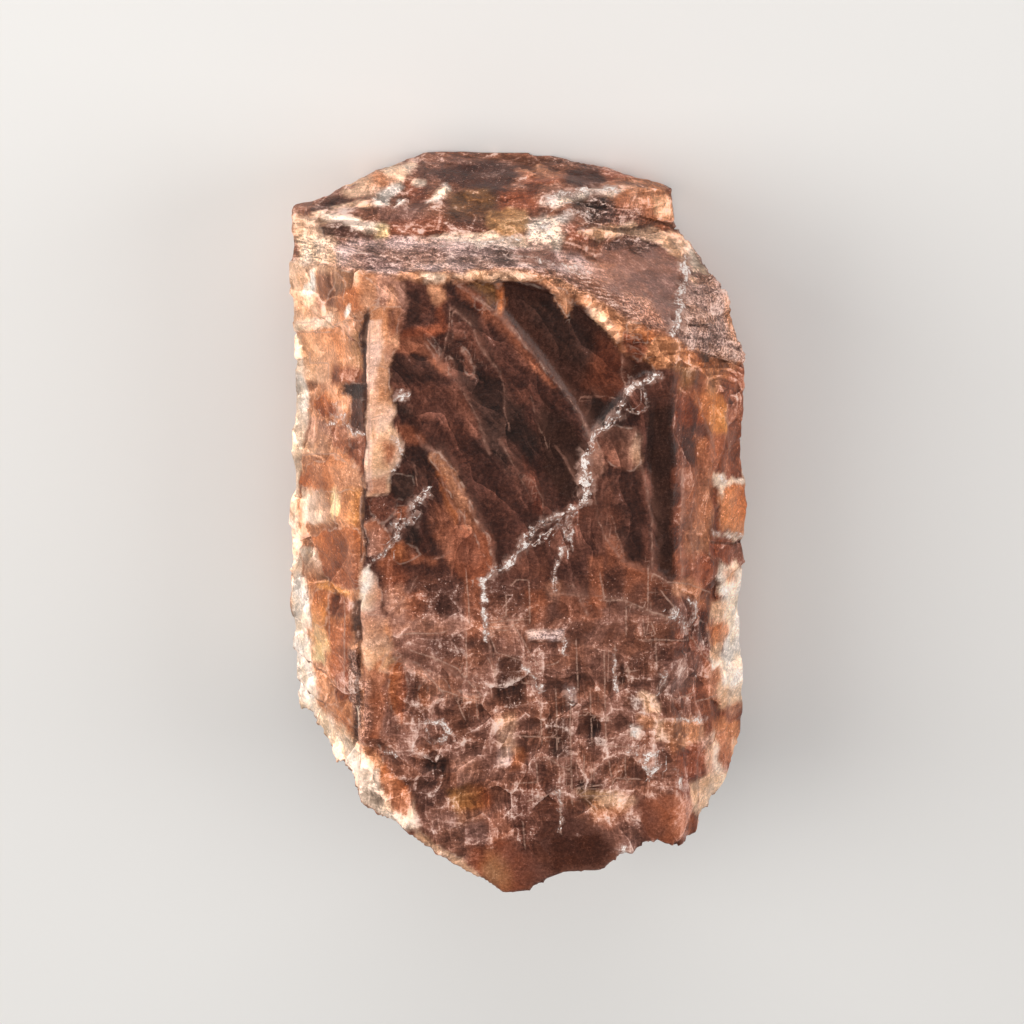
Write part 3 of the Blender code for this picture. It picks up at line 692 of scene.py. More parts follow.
rightPatches = [
    patch("ridge", 0.6, 3, 676, 372, 690, 372, 700, 388, 694, 404, 678, 400),
    boxPatch("olive", 0.5, 4, 682, 366, 698, 384),
    patch("rust", 0.8, 3, 677, 396, 700, 400, 706, 424, 678, 426),
    patch("brown", 0.75, 3.5, 678, 424, 702, 426, 706, 446, 698, 462, 680, 462),
    patch("orange", 0.8, 3, 694, 392, 706, 386, 720, 392, 727, 408, 728, 434, 714, 440, 702, 424,
        second="amber", leans=20, lift=0.06, smooth=0.5),
    patch("ochre", 0.7, 3, 696, 362, 716, 366, 724, 386, 712, 396, 698, 384, second="ridge", leans=180),
    patch("ridge", 0.7, 3, 695, 440, 716, 436, 722, 460, 712, 476, 696, 470, second="orange", leans=-90),
    patch("ridge", 0.7, 3, 708, 434, 728, 434, 729, 470, 712, 470, 706, 456),
    patch("ridge", 0.6, 2.5, 727, 408, 744, 404, 744, 474, 730, 470),
    patch("ridge", 0.6, 3, 714, 366, 742, 364, 744, 404, 728, 404, 716, 388, kind="crumb"),
    patch("ridge", 0.6, 4, 680, 464, 712, 464, 712, 556, 684, 560, second="tan", leans=20),
    patch("peach", 0.95, 2, 716, 476, 746, 484, 746, 536, 722, 530, 718, 500, second="orange", leans=-30,
        lift=0.1, smooth=0.8),
    patch("cream", 0.8, 1.6, 713, 472, 719, 474, 724, 480, 746, 477, 746, 484, 724, 485, 721, 496, 716, 486,
        lift=0.05, smooth=0.6),
    ovalPatch("white", 0.7, 0.6, 720, 480, 6, 5, 30),
    patch("cream", 0.75, 1.6, 712, 531, 724, 534, 746, 532, 746, 538, 728, 539),
    patch("rust", 0.95, 1.5, 711, 540, 726, 541, 746, 540, 746, 566, 728, 564, 712, 556, second="brown",
        leans=0, lift=-0.1),
    patch("rust", 0.8, 3, 674, 552, 706, 552, 714, 572, 706, 590, 676, 580, second="ridge", leans=200),
    patch("tan", 0.7, 2.5, 672, 580, 692, 578, 712, 592, 722, 604, 712, 612, 690, 600, 672, 592, second="ridge",
        leans=0),
    patch("brown", 0.75, 2.5, 672, 598, 690, 602, 698, 618, 684, 628, 672, 620),
    patch("darkBrown", 0.8, 2.5, 690, 624, 710, 624, 710, 650, 700, 646),
    patch("brown", 0.75, 3.5, 664, 646, 690, 650, 704, 668, 704, 684, 676, 692, 662, 676, second="mauve",
        leans=90),
    patch("tan", 0.8, 2.5, 704, 662, 724, 668, 722, 700, 704, 698, second="ridge", leans=180, smooth=0.4),
    patch("brown", 0.75, 3, 676, 694, 704, 700, 720, 704, 720, 722, 676, 722, second="ridge", leans=0),
    patch("tan", 0.55, 4, 664, 720, 690, 716, 704, 724, 702, 748, 676, 752, 664, 742, second="honey",
        leans=180),
    patch("cream", 0.9, 2, 718, 562, 726, 566, 736, 562, 748, 570, 748, 596, 724, 592, 716, 580, second="white",
        leans=90, lift=0.08, smooth=0.6),
    patch("tan", 0.7, 2.5, 721, 568, 733, 568, 733, 582, 722, 580, smooth=0.5),
    patch("white", 0.95, 3, 718, 588, 730, 584, 748, 590, 748, 606, 728, 602, smooth=0.7),
    patch("white", 0.95, 3, 722, 600, 748, 598, 748, 660, 726, 656, 723, 630, smooth=0.7),
    patch("paleTan", 0.8, 3, 712, 602, 726, 602, 728, 626, 714, 626, smooth=0.5),
    patch("orange", 0.9, 2.2, 710, 626, 725, 622, 728, 634, 724, 648, 711, 646, second="tan", leans=90,
        smooth=0.5),
    patch("paleTan", 0.85, 2, 711, 645, 723, 645, 723, 662, 710, 660, smooth=0.5),
    # painted glints
    patch("white", 0.9, 1.6, 708, 659, 723, 659, 723, 666, 712, 666),
    patch("white", 0.97, 3.5, 721, 654, 748, 654, 748, 690, 724, 690, smooth=0.8),
    patch("cream", 0.9, 3, 719, 684, 748, 684, 746, 706, 734, 714, 720, 710, second="paleTan", leans=180,
        smooth=0.5),
    patch("ridge", 0.8, 2.5, 722, 708, 744, 702, 744, 722, 724, 724, second="rust", leans=0, smooth=0.4),
    patch("ridge", 0.8, 3, 714, 722, 742, 720, 744, 764, 716, 768, second="peach", leans=-40, smooth=0.5),
    patch("paleTan", 0.7, 3, 732, 738, 746, 738, 746, 768, 734, 768, smooth=0.5),
    patch("pinkish", 0.85, 3, 702, 738, 716, 732, 720, 774, 704, 782, second="cream", leans=0, lift=0.05,
        smooth=0.5),
    patch("rust", 0.85, 2.5, 684, 752, 704, 742, 704, 776, 690, 802, 678, 800, second="deepRust", leans=90),
    patch("paleTan", 0.85, 3, 692, 784, 706, 776, 726, 774, 724, 800, 706, 818, 690, 812, second="cream",
        leans=20, smooth=0.5),
    patch("brown", 0.85, 4, 640, 798, 676, 794, 692, 806, 690, 836, 660, 846, 644, 830, second="ridge", leans=0,
        kind="calm"),
]

topPatches = [
    # the back part, from left to right
    patch("paleTan", 0.75, 4, 290, 215, 330, 219, 336, 250, 300, 262),
    patch("darkBrown", 0.8, 3, 304, 212, 318, 202, 344, 192, 352, 198, 340, 208, 318, 214),
    patch("pinkish", 0.9, 2.5, 344, 192, 372, 170, 412, 160, 414, 172, 396, 186, 380, 196, 356, 198,
        second="paleTan", leans=180, lift=0.12, smooth=0.5),
    patch("orange", 0.4, 3, 368, 174, 384, 170, 386, 186, 372, 190),
    patch("cream", 0.75, 2.5, 384, 168, 412, 162, 414, 172, 402, 180, 388, 178, smooth=0.4),
    patch("white", 0.85, 2.6, 373, 205, 378, 196, 388, 184, 400, 180, 402, 186, 390, 198, 382, 207, lift=0.06),
    patch("paleTan", 0.8, 1.8, 314, 214, 336, 205, 372, 199, 372, 204, 340, 210, 318, 218),
    patch("rust", 0.8, 2.6, 406, 184, 426, 186, 430, 208, 412, 211, second="darkBrown", leans=60, smooth=0.5),
    patch("white", 0.9, 1.5, 392, 210, 398, 200, 404, 198, 402, 206, 396, 212),
    boxPatch("cream", 0.8, 1.5, 414, 181, 427, 186),
    patch("white", 0.9, 2.6, 428, 202, 434, 190, 446, 184, 448, 192, 438, 202, lift=0.08),
    patch("mauve", 0.75, 3, 416, 160, 440, 156, 466, 158, 464, 172, 430, 180, 418, 176),
    patch("veiled", 0.95, 3.5, 432, 168, 480, 162, 520, 164, 516, 180, 500, 190, 470, 188, 440, 182,
        smooth=0.8),
    patch("pinkish", 0.6, 2.2, 440, 196, 456, 186, 462, 190, 450, 200),
    patch("tan", 0.85, 2.6, 520, 172, 540, 164, 560, 170, 568, 180, 548, 186, 522, 184, second="rust", leans=90,
        lift=0.12, smooth=0.5),
    patch("veiled", 0.9, 3, 566, 168, 600, 168, 606, 182, 580, 190, 566, 182, smooth=0.7),
    patch("glass", 0.75, 3, 484, 188, 500, 186, 498, 208, 486, 210, smooth=0.6),
    patch("rust", 0.7, 3, 600, 170, 634, 172, 640, 180, 610, 182),
    patch("mauve", 0.6, 3, 322, 208, 350, 206, 378, 212, 372, 218, 330, 216),
    patch("mauve", 0.75, 3, 372, 207, 426, 208, 436, 218, 400, 224, 380, 220, smooth=0.5),
    patch("rust", 0.65, 4, 388, 222, 440, 216, 484, 224, 480, 236, 430, 238, 390, 234, second="brown", leans=0),
    patch("cream", 0.85, 2.6, 322, 212, 334, 214, 360, 222, 388, 226, 386, 232, 350, 229, 324, 220, lift=0.08),
    # a painted glow
    patch("glow", 0.8, 2, 375, 226, 386, 224, 388, 236, 377, 238),
    patch("darkBrown", 0.85, 2, 320, 224, 350, 226, 372, 234, 350, 238, 322, 234),
    patch("olive", 0.75, 5, 448, 192, 486, 188, 496, 206, 488, 222, 470, 230, 444, 222, second="darkBrown",
        leans=90, smooth=0.3),
    patch("rust", 0.65, 4, 498, 190, 536, 188, 540, 212, 500, 212, smooth=0.4),
    patch("ochre", 0.85, 2.5, 486, 214, 506, 209, 528, 211, 530, 230, 512, 236, 488, 234, smooth=0.4),
    patch("tan", 0.8, 3, 604, 184, 640, 176, 668, 188, 676, 226, 640, 222, 606, 216, second="ridge", leans=120),
    patch("paleTan", 0.7, 3, 652, 196, 670, 196, 672, 218, 656, 214),
    patch("white", 0.7, 2.5, 542, 206, 560, 196, 580, 192, 622, 188, 612, 197, 575, 199, 558, 208, lift=0.06,
        kind="speckle"),
    patch("deepGlass", 0.8, 3, 571, 199, 614, 199, 616, 220, 590, 222, 572, 214, lift=-0.12, kind="speckle"),
    patch("mauve", 0.6, 3, 600, 206, 640, 208, 650, 222, 610, 224, kind="speckle"),
    patch("white", 0.8, 4, 528, 222, 545, 216, 572, 216, 566, 232, 558, 250, 534, 248, lift=0.06,
        kind="speckle"),
    patch("white", 0.5, 2.5, 533, 222, 550, 220, 554, 236, 540, 242),
    patch("rust", 0.75, 3, 558, 230, 576, 224, 598, 230, 590, 240, 566, 240),
    # the front band
    patch("topFront", 0.9, 4, 330, 244, 360, 236, 450, 238, 520, 236, 560, 250, 600, 262, 590, 276, 540, 270,
        450, 271, 380, 274, 336, 264),
    patch("cream", 0.8, 4, 296, 236, 334, 240, 338, 266, 298, 262, second="paleTan", leans=0),
    patch("mauve", 0.75, 3, 344, 252, 400, 246, 450, 250, 440, 262, 370, 264),
    patch("brown", 0.5, 2.5, 360, 262, 400, 258, 420, 264, 400, 270, 366, 270),
    patch("cream", 0.5, 2, 430, 234, 480, 233, 520, 238, 478, 243, 434, 241),
    patch("darkBrown", 0.6, 4, 440, 252, 474, 247, 514, 250, 518, 266, 490, 270, 446, 266),
    patch("cream", 0.7, 3, 470, 238, 530, 236, 530, 246, 480, 248),
    patch("glass", 0.75, 3, 492, 248, 512, 248, 516, 266, 498, 264),
    patch("brown", 0.8, 2.5, 517, 250, 552, 250, 572, 262, 540, 268, 520, 262, smooth=0.5),
    # the terrace with its raised edge
    patch("paleTan", 0.9, 2, 576, 232, 600, 226, 650, 226, 686, 236, 690, 256, 664, 250, 640, 236, 600, 238,
        second="paleTan", leans=0, lift=0.12),
    patch("terrace", 0.95, 3, 600, 246, 640, 238, 676, 254, 682, 300, 676, 334, 650, 322, 616, 296, 592, 276,
        kind="calm", smooth=0.65),
    patch("glass", 0.65, 3, 602, 244, 640, 236, 660, 246, 650, 254, 610, 250, kind="speckle"),
    patch("pinkish", 0.7, 3, 581, 262, 612, 262, 630, 276, 606, 284, 588, 276),
    patch("pinkish", 0.7, 4, 620, 290, 650, 300, 672, 330, 650, 330, 622, 306, kind="grain"),
    patch("grain", 0.95, 2, 686, 266, 706, 270, 726, 284, 738, 310, 742, 364, 716, 356, 690, 348, 678, 336, 682,
        300, kind="grain"),
    patch("cream", 0.85, 2, 686, 242, 700, 250, 716, 262, 722, 276, 706, 272, 688, 268),
    patch("tan", 0.75, 3, 722, 296, 738, 300, 742, 350, 728, 336),
    # the ragged lip along the front edge
    patch("tan", 0.85, 2.6, 388, 274, 450, 272, 480, 268, 516, 268, 549, 276, 573, 284, 591, 296, 614, 310, 638,
        324, 672, 340, 696, 350, 706, 362, 690, 370, 668, 368, 655, 370, 640, 360, 622, 346, 604, 326, 585, 308,
        565, 296, 549, 288, 521, 281, 480, 281, 440, 284, 400, 282, second="honey", leans=40, kind="crumb",
        lift=0.08),
    patch("honey", 0.7, 4, 690, 350, 716, 356, 736, 364, 728, 378, 700, 376, kind="crumb"),
    patch("olive", 0.6, 4, 676, 366, 698, 368, 698, 390, 680, 392, second="brown", leans=0),
    patch("paleTan", 0.7, 2, 450, 274, 480, 270, 520, 272, 545, 281, 520, 280, 480, 280),
    patch("tan", 0.85, 1.5, 549, 286, 566, 292, 574, 300, 569, 317, 558, 306, lift=0.15),
    patch("tan", 0.9, 1.6, 588, 306, 600, 312, 614, 324, 622, 336, 620, 342, 604, 330, 592, 318,
        second="paleTan", leans=200, lift=0.1),
    patch("deepRust", 0.85, 2, 624, 328, 644, 334, 648, 352, 640, 362, 624, 344, lift=-0.15),
    patch("tan", 0.75, 2, 622, 316, 646, 324, 660, 336, 652, 346, 632, 334, second="orange", leans=60,
        lift=0.1),
    patch("paleTan", 0.7, 2.5, 645, 228, 668, 236, 688, 262, 700, 286, 686, 272, 664, 248, 642, 238),
    patch("honey", 0.75, 3, 671, 340, 694, 350, 702, 366, 676, 364, second="orange", leans=0),
    patch("orange", 0.7, 1.5, 498, 284, 503, 285, 504, 316, 500, 316),
    boxPatch("deepGlass", 0.9, 1.5, 448, 277, 456, 284, lift=-0.15),
    boxPatch("deepGlass", 0.9, 1.5, 496, 276, 504, 283, lift=-0.15),
    patch("tan", 0.75, 2.2, 428, 284, 444, 284, 446, 300, 438, 306, 430, 296),
    patch("cream", 0.6, 2.2, 422, 274, 446, 274, 446, 282, 426, 283),
]


def paintPatches(patches, within):
    for mark in patches:
        if "oval" in mark:
            cover = skin.oval(mark["oval"], mark["soft"])
        else:
            outline = mark.get("outline") or boxOutline(*mark["box"])
            cover = skin.area(outline, mark["soft"])
        cover = cover * within
        colour = linear(tones[mark["tone"]])
        if "second" in mark:
            colour = skin.lean(outline, mark["leans"], colour, linear(tones[mark["second"]]))
        skin.lay(cover, colour, mark["strength"])
        skin.lift += cover * mark.get("lift", 0.0)
        skin.drop("calm", cover * 0.6)
        for name in ("knobs", "streak", "speckle", "flute"):
            skin.drop(name, cover * mark.get("smooth", 0.0))
        if "kind" in mark:
            skin.keep(mark["kind"], cover)


def boxOutline(left, top, right, bottom):
    return [(left, top), (right, top), (right, bottom), (left, bottom)]


shown = 1 - skin.kinds["foot"]
leftOfSeam = skin.area([(270, 255), (362, 266), (364, 560), (364, 740), (500, 900), (270, 900)], 2)
paintPatches(frontPatches, shown)
paintPatches(leftPatches, shown * leftOfSeam)
paintPatches(rightPatches, shown)
paintPatches(topPatches, shown)


def deepen(cover, middle, power):
    # spreads light and dark further apart, with the hue kept
    bright = skin.colour @ np.array((0.21, 0.72, 0.07))
    gain = np.clip((bright / middle) ** power, 0, 0.97 / skin.colour.max(axis=1))
    skin.colour *= (1 + np.clip(cover, 0, 1) * (gain - 1))[:, None]


deepen(skin.area(faces["left"], 3), 0.47, 0.3)
print("colours laid on")


# each line has a half width and a strength, and then its points, in dots


def stroke(width, strength, *points):
    return dict(width=width, strength=strength, points=pairs(points))


# white veins, and a few short strokes that are painted glints
whiteVeinsAndGlints = [
    stroke(2.8, 0.95, 660, 374, 652, 377, 645, 383, 633, 385),
    stroke(2.4, 1.0, 633, 385, 627, 393, 622, 402, 620, 413),
    stroke(1.2, 0.6, 636, 385, 645, 388, 646, 404, 638, 412, 626, 409),
    stroke(3.6, 0.85, 620, 412, 612, 420, 603, 428),
    stroke(4.2, 0.8, 604, 426, 596, 434, 590, 445, 586, 456),
    stroke(4.0, 1.4, 587, 452, 585, 468, 587, 484, 584, 503),
    stroke(2.2, 0.7, 584, 502, 574, 506, 566, 510),
    stroke(2.4, 0.85, 568, 510, 564, 524, 566, 540),
    stroke(1.1, 0.5, 576, 508, 573, 522, 570, 540, 572, 552),
    stroke(1.7, 0.85, 562, 545, 559, 560, 553, 576, 555, 590),
    stroke(2.2, 0.75, 564, 512, 553, 518, 545, 522),
    stroke(3.2, 0.8, 546, 521, 534, 528, 527, 538, 521, 550),
    stroke(3.0, 0.75, 522, 548, 513, 560, 501, 570, 487, 576),
    stroke(1.1, 0.5, 558, 522, 547, 534, 536, 546),
    stroke(1.7, 1.4, 481, 578, 483, 590, 485, 612, 487, 642),
    stroke(3.4, 0.75, 428, 489, 422, 499, 413, 506, 416, 513, 410, 524),
    stroke(3.2, 0.75, 390, 524, 401, 528, 398, 541),
    stroke(1.7, 0.75, 392, 401, 398, 393, 402, 397, 409, 394),
    stroke(1.7, 0.85, 338, 402, 341, 413, 347, 424, 352, 430),
    stroke(1.5, 0.7, 324, 426, 333, 423, 340, 416),
    stroke(1.5, 0.7, 352, 434, 363, 433),
    stroke(1.8, 0.75, 391, 434, 399, 442, 402, 452, 398, 464, 392, 472),
    stroke(1.8, 0.8, 374, 561, 385, 553, 393, 543, 397, 535),
    stroke(3.6, 1.7, 684, 257, 684, 280, 681, 296, 679, 308, 675, 337),
    stroke(1.9, 0.8, 525, 664, 531, 675, 536, 687, 545, 690),
    stroke(2.6, 0.9, 571, 688, 570, 696, 571, 704),
    stroke(2.4, 0.7, 565, 640, 566, 655),
    stroke(1.7, 0.6, 614, 648, 615, 672, 618, 692),
    stroke(2.2, 0.8, 666, 670, 661, 682, 657, 692),
    stroke(1.8, 0.9, 646, 754, 656, 751, 658, 764, 652, 776, 646, 767, 645, 756),
    stroke(1.8, 0.7, 626, 753, 640, 755),
    # a painted glint
    stroke(3.2, 0.9, 630, 727, 638, 735),
    stroke(1.8, 0.75, 689, 599, 696, 604, 696, 617, 689, 625, 679, 619, 672, 615, 677, 609),
    stroke(2.2, 0.7, 679, 620, 684, 629, 688, 636),
    # a row of painted glints
    stroke(2.2, 0.6, 679, 718, 692, 719, 705, 718),
    stroke(1.7, 0.75, 427, 722, 442, 722, 449, 731, 440, 743, 430, 741, 427, 729),
    # a painted glint
    stroke(3.4, 0.85, 384, 752, 397, 757),
    # a painted glint
    stroke(2.2, 0.9, 621, 852, 625, 844),
    stroke(1.6, 0.6, 546, 791, 556, 790, 562, 800, 560, 830),
    stroke(2.2, 0.6, 676, 770, 680, 788),
    stroke(2.0, 0.7, 718, 476, 724, 482),
    stroke(1.6, 0.6, 712, 532, 728, 535, 746, 536),
    stroke(2.6, 0.7, 545, 202, 562, 194, 590, 190, 618, 190),
    stroke(3.0, 0.6, 538, 232, 552, 222, 570, 212, 590, 214),
    stroke(1.8, 0.5, 440, 246, 480, 243, 520, 239),
    stroke(1.8, 0.5, 512, 256, 534, 258, 556, 266, 590, 274),
]

paleArcs = [
    stroke(2.4, 0.85, 462, 287, 480, 299, 505, 322, 530, 350, 548, 372, 568, 397, 580, 415, 591, 437),
    stroke(2.6, 0.55, 450, 307, 459, 313, 473, 327, 475, 337, 486, 355, 500, 371),
    stroke(1.5, 0.6, 450, 307, 449, 327, 446, 341, 442, 357),
    stroke(2.6, 0.6, 462, 349, 469, 358, 474, 368, 475, 378),
    stroke(1.8, 0.45, 448, 355, 454, 364, 454, 377),
    stroke(2.6, 0.55, 426, 343, 440, 365, 456, 380, 473, 408, 480, 423, 484, 440, 490, 456),
    stroke(1.4, 0.4, 500, 371, 504, 388, 504, 408, 510, 430),
    stroke(2.0, 0.5, 500, 440, 512, 462, 524, 482, 531, 502),
    stroke(1.6, 0.45, 524, 474, 536, 484, 542, 500, 544, 518),
    stroke(1.6, 0.4, 530, 395, 541, 431, 548, 448),
    stroke(1.9, 0.5, 556, 446, 566, 462, 574, 478, 584, 492),
    stroke(2.0, 0.6, 594, 470, 596, 500, 599, 522, 608, 542, 624, 562),
    stroke(1.6, 0.5, 612, 516, 616, 530, 621, 545, 626, 562),
    stroke(2.0, 0.6, 641, 462, 645, 480, 648, 500, 652, 520, 652, 578),
    stroke(1.3, 0.7, 578, 397, 596, 396, 614, 398),
    stroke(2.2, 0.6, 621, 340, 623, 356, 622, 378, 626, 388),
    stroke(4.0, 0.45, 548, 593, 575, 594, 606, 597, 630, 605, 649, 612, 672, 620),
    stroke(2.6, 0.5, 571, 582, 578, 598, 588, 616),
    stroke(3.0, 0.5, 626, 562, 640, 568, 656, 577, 672, 586, 688, 597),
    stroke(2.2, 0.55, 390, 648, 408, 662, 424, 668),
    stroke(2.4, 0.55, 430, 654, 456, 675, 478, 686, 496, 699),
    stroke(2.0, 0.6, 489, 644, 492, 660, 496, 672),
    stroke(2.6, 0.6, 545, 757, 556, 763, 570, 774),
    stroke(1.8, 0.6, 522, 801, 537, 797, 548, 791),
    stroke(2.6, 0.7, 416, 433, 424, 447, 439, 452, 446, 461, 452, 471, 458, 483, 470, 500, 472, 515, 486, 535,
        496, 566),
    stroke(1.6, 0.5, 432, 452, 440, 474, 448, 496, 458, 512, 462, 530),
    stroke(1.5, 0.6, 413, 463, 416, 471, 418, 490),
    stroke(2.0, 0.6, 697, 398, 704, 418, 712, 440, 716, 456),
    stroke(1.8, 0.6, 722, 408, 729, 430, 730, 460),
    stroke(2.2, 0.5, 679, 470, 683, 500, 680, 540, 682, 578),
    stroke(2.0, 0.5, 694, 490, 690, 520, 694, 560),
    stroke(1.8, 0.5, 398, 606, 410, 590, 418, 576),
    stroke(1.8, 0.5, 424, 561, 440, 557, 450, 552),
    stroke(2.4, 0.3, 516, 620, 560, 640, 600, 650),
]

# thin straight seams, all alike: their points

thinSeams = [
    [466, 570, 470, 625], [466, 631, 467, 680], [490, 636, 496, 652, 522, 660, 536, 682],
    [509, 619, 518, 631, 527, 648, 543, 672], [488, 622, 525, 619], [489, 630, 508, 630], [506, 594, 506, 617],
    [529, 580, 530, 623], [510, 586, 518, 579, 527, 580], [400, 634, 441, 633, 447, 630],
    [410, 650, 434, 658, 457, 668, 469, 682, 482, 696], [423, 670, 441, 690, 449, 692, 461, 697, 478, 700],
    [443, 694, 434, 705, 431, 719], [457, 701, 465, 719], [476, 700, 478, 720], [488, 658, 495, 672, 497, 686],
    [522, 683, 530, 684], [546, 666, 559, 662], [654, 574, 668, 582, 689, 584, 711, 593], [648, 567, 648, 610],
    [626, 598, 626, 636], [643, 619, 646, 642], [615, 644, 615, 677, 619, 691], [600, 573, 605, 602],
    [600, 600, 625, 600, 650, 611, 671, 617], [661, 591, 673, 606, 675, 614, 666, 619],
    [651, 622, 655, 634, 657, 664], [691, 636, 702, 654, 711, 662], [655, 695, 660, 688],
    [669, 700, 688, 695, 692, 692], [694, 702, 716, 696], [625, 671, 637, 670], [628, 666, 628, 682],
    [546, 757, 571, 771], [571, 700, 570, 724, 571, 752, 572, 804], [560, 776, 561, 833], [609, 760, 614, 796],
    [625, 756, 626, 783], [594, 765, 594, 780], [584, 755, 584, 795], [615, 778, 642, 780],
    [577, 788, 602, 785], [582, 796, 624, 795], [514, 783, 538, 782], [526, 801, 556, 792, 566, 790],
    [576, 791, 596, 808], [523, 822, 525, 848], [538, 782, 536, 762], [600, 745, 640, 748],
    [540, 700, 542, 745], [556, 690, 557, 750], [590, 690, 592, 745], [604, 650, 606, 740],
    [500, 735, 560, 738], [575, 715, 612, 716], [640, 640, 690, 640], [576, 640, 578, 690],
    [370, 322, 369, 400, 369, 494], [369, 366, 378, 365, 388, 368], [370, 418, 380, 415, 389, 419],
    [369, 474, 380, 476, 391, 473], [362, 496, 361, 516, 363, 538], [338, 281, 330, 295, 328, 306],
    [338, 272, 347, 282, 346, 300],
    [294, 323, 317, 321, 320, 316, 335, 315, 335, 325, 350, 319, 361, 321, 372, 310], [300, 332, 331, 332],
    [349, 321, 349, 342], [329, 363, 329, 378], [310, 352, 310, 363, 329, 363], [300, 455, 335, 453, 346, 462],
    [337, 490, 337, 524], [328, 596, 329, 640], [345, 600, 345, 676],
]

# cracks, the seam's groove and the undersides of ledges and the lip: painted shade, near black, along lines
# that the relief also sinks
shadedCracks = [
    stroke(3.4, 0.85, 368, 314, 366, 322, 364, 340, 364, 384),
    stroke(1.6, 0.55, 365, 384, 365, 432, 363, 470, 363, 520, 361, 560),
    stroke(2.4, 0.6, 358, 600, 360, 640, 358, 680, 356, 720, 354, 744),
    stroke(1.6, 0.4, 530, 643, 545, 641, 560, 642),
    stroke(1.8, 0.6, 711, 542, 728, 544, 746, 542),
    stroke(2.4, 0.6, 576, 230, 592, 225, 614, 230, 640, 228, 664, 222, 680, 230),
    stroke(2.4, 0.5, 448, 274, 462, 282),
    stroke(3.0, 0.5, 500, 156, 530, 160, 560, 160),
    stroke(2.0, 0.5, 300, 216, 330, 222, 370, 224),
]


def rimsOf(patches):
    # the crisp edges of the patches that stand out or are clear-cut: pale flake edges, with a painted highlight
    # that grows with the patch's lift
    rims = []
    for mark in patches:
        if "outline" in mark and mark["soft"] <= 2:
            closed = mark["outline"] + mark["outline"][:1]
            rims.append(dict(points=closed, width=1.5, strength=0.35 + 1.5 * max(0, mark.get("lift", 0))))
    return rims


def drawLines(name, lines, jitter, reach=1.0, fogWide=0):
    # each point keeps its signed distance from the nearest line, that line's strength and its half width
    x = skin.x + jitter[:, 0]
    y = skin.y + jitter[:, 1]
    nearest = np.full(len(x), 1e9)
    made = np.zeros((len(x), 3))
    farthest = 15.0
    made[:, 0] = farthest
    for line in lines:
        signed, along, past, run = besideLine(x, y, line["points"])
        away = np.abs(signed) / line["width"]
        closer = away < nearest
        taper = fade(0, 2, along + 1) * fade(0, 2, run - along + 1) * (past < 1.5)
        nearest = np.where(closer, away, nearest)
        made[:, 0] = np.where(closer, np.clip(signed, -farthest, farthest), made[:, 0])
        near = fade(line["width"] * reach + 6, line["width"] * reach + 2.5, np.abs(signed))
        made[:, 1] = np.where(closer, line["strength"] * taper * near, made[:, 1])
        made[:, 2] = np.where(closer, line["width"], made[:, 2])
        if fogWide:
            # a fog on one side of the line
            side = fade(fogWide, 0, signed) * fade(-2, 1, signed)
            skin.keep("fog", side * fade(0, 25, along) * fade(0, 25, run - along) * line["strength"])
    made[:, 1] *= 1 - skin.kinds["foot"]
    skin.lines[name] = made


jitter = wander(places, 0.0011, 2.2, 5)
drawLines("whiteVeinsAndGlints", whiteVeinsAndGlints, jitter * 1.5, 2.5)
drawLines("paleArcs", paleArcs, jitter * 0.8, 1.0, 14)
drawLines("shadedCracks", shadedCracks, jitter * 0.35)
drawLines("seams", [stroke(1.3, 0.85, *points) for points in thinSeams], jitter * 0.25)
drawLines("paleRimsAndHighlights", rimsOf(frontPatches + leftPatches + rightPatches + topPatches), skin.drift)
print("lines drawn")


# the kinds of surface, three to an attribute

kindGroups = dict(
    kindsOne=("lattice", "shell", "flute"),
    kindsTwo=("streak", "grain", "foot"),
    kindsThree=("crumb", "fog", "knobs"),
    kindsFour=("speckle", "calm"),
)


def keepMarks(mesh):
    def write(name, kind, values):
        layer = mesh.attributes.new(name, kind, "POINT")
        field = "color" if kind == "FLOAT_COLOR" else "vector" if kind == "FLOAT_VECTOR" else "value"
        layer.data.foreach_set(field, np.ascontiguousarray(values, np.float32).ravel())

    spot = np.stack([skin.x / 100, skin.y / 100, np.zeros(len(skin.x))], 1)
    write("spot", "FLOAT_VECTOR", spot)
    write("stoneColour", "FLOAT_COLOR", np.concatenate([skin.colour, np.ones((len(skin.x), 1))], 1))
    write("lift", "FLOAT", skin.lift)
    for group, names in kindGroups.items():
        columns = np.zeros((len(skin.x), 3))
        for number, name in enumerate(names):
            columns[:, number] = skin.kinds[name]
        write(group, "FLOAT_VECTOR", columns)
    for name, made in skin.lines.items():
        write(name, "FLOAT_VECTOR", made)


keepMarks(body.data)


# the surface's relief: cleavage blocks, flutes, layers, the lattice of cracks, grain and the hackly foot

reliefPlan = {
    "Marks": 1.0,
    "Columns": 0.16,
    "Flutes": 0.14,
    "Layers": 0.16,
    "Knobs": 0.2,
    "Lattice": 0.12,
    "Veils": 0.07,
    "Grain": 0.25,
    "Crumbs": 0.45,
    "Hackle": 0.35,
    "Veins": 0.22,
    "Cracks": 0.3,
    "Overall": 0.1,
}


def lineMask(g, name, soft, jagged=None, reach=1.0):
    # 1 along the middle of a line, 0 beyond its half width
    distance, strength, width = g.split(g.attribute(name))
    away = g.math("ABSOLUTE", distance)
    if jagged is not None:
        away = g.math("ADD", away, jagged)
    outer = g.math("MULTIPLY", width, reach)
    inner = g.math("MULTIPLY", outer, 1 - soft)
    return g.math("MULTIPLY", g.ramp(away, outer, inner), strength)


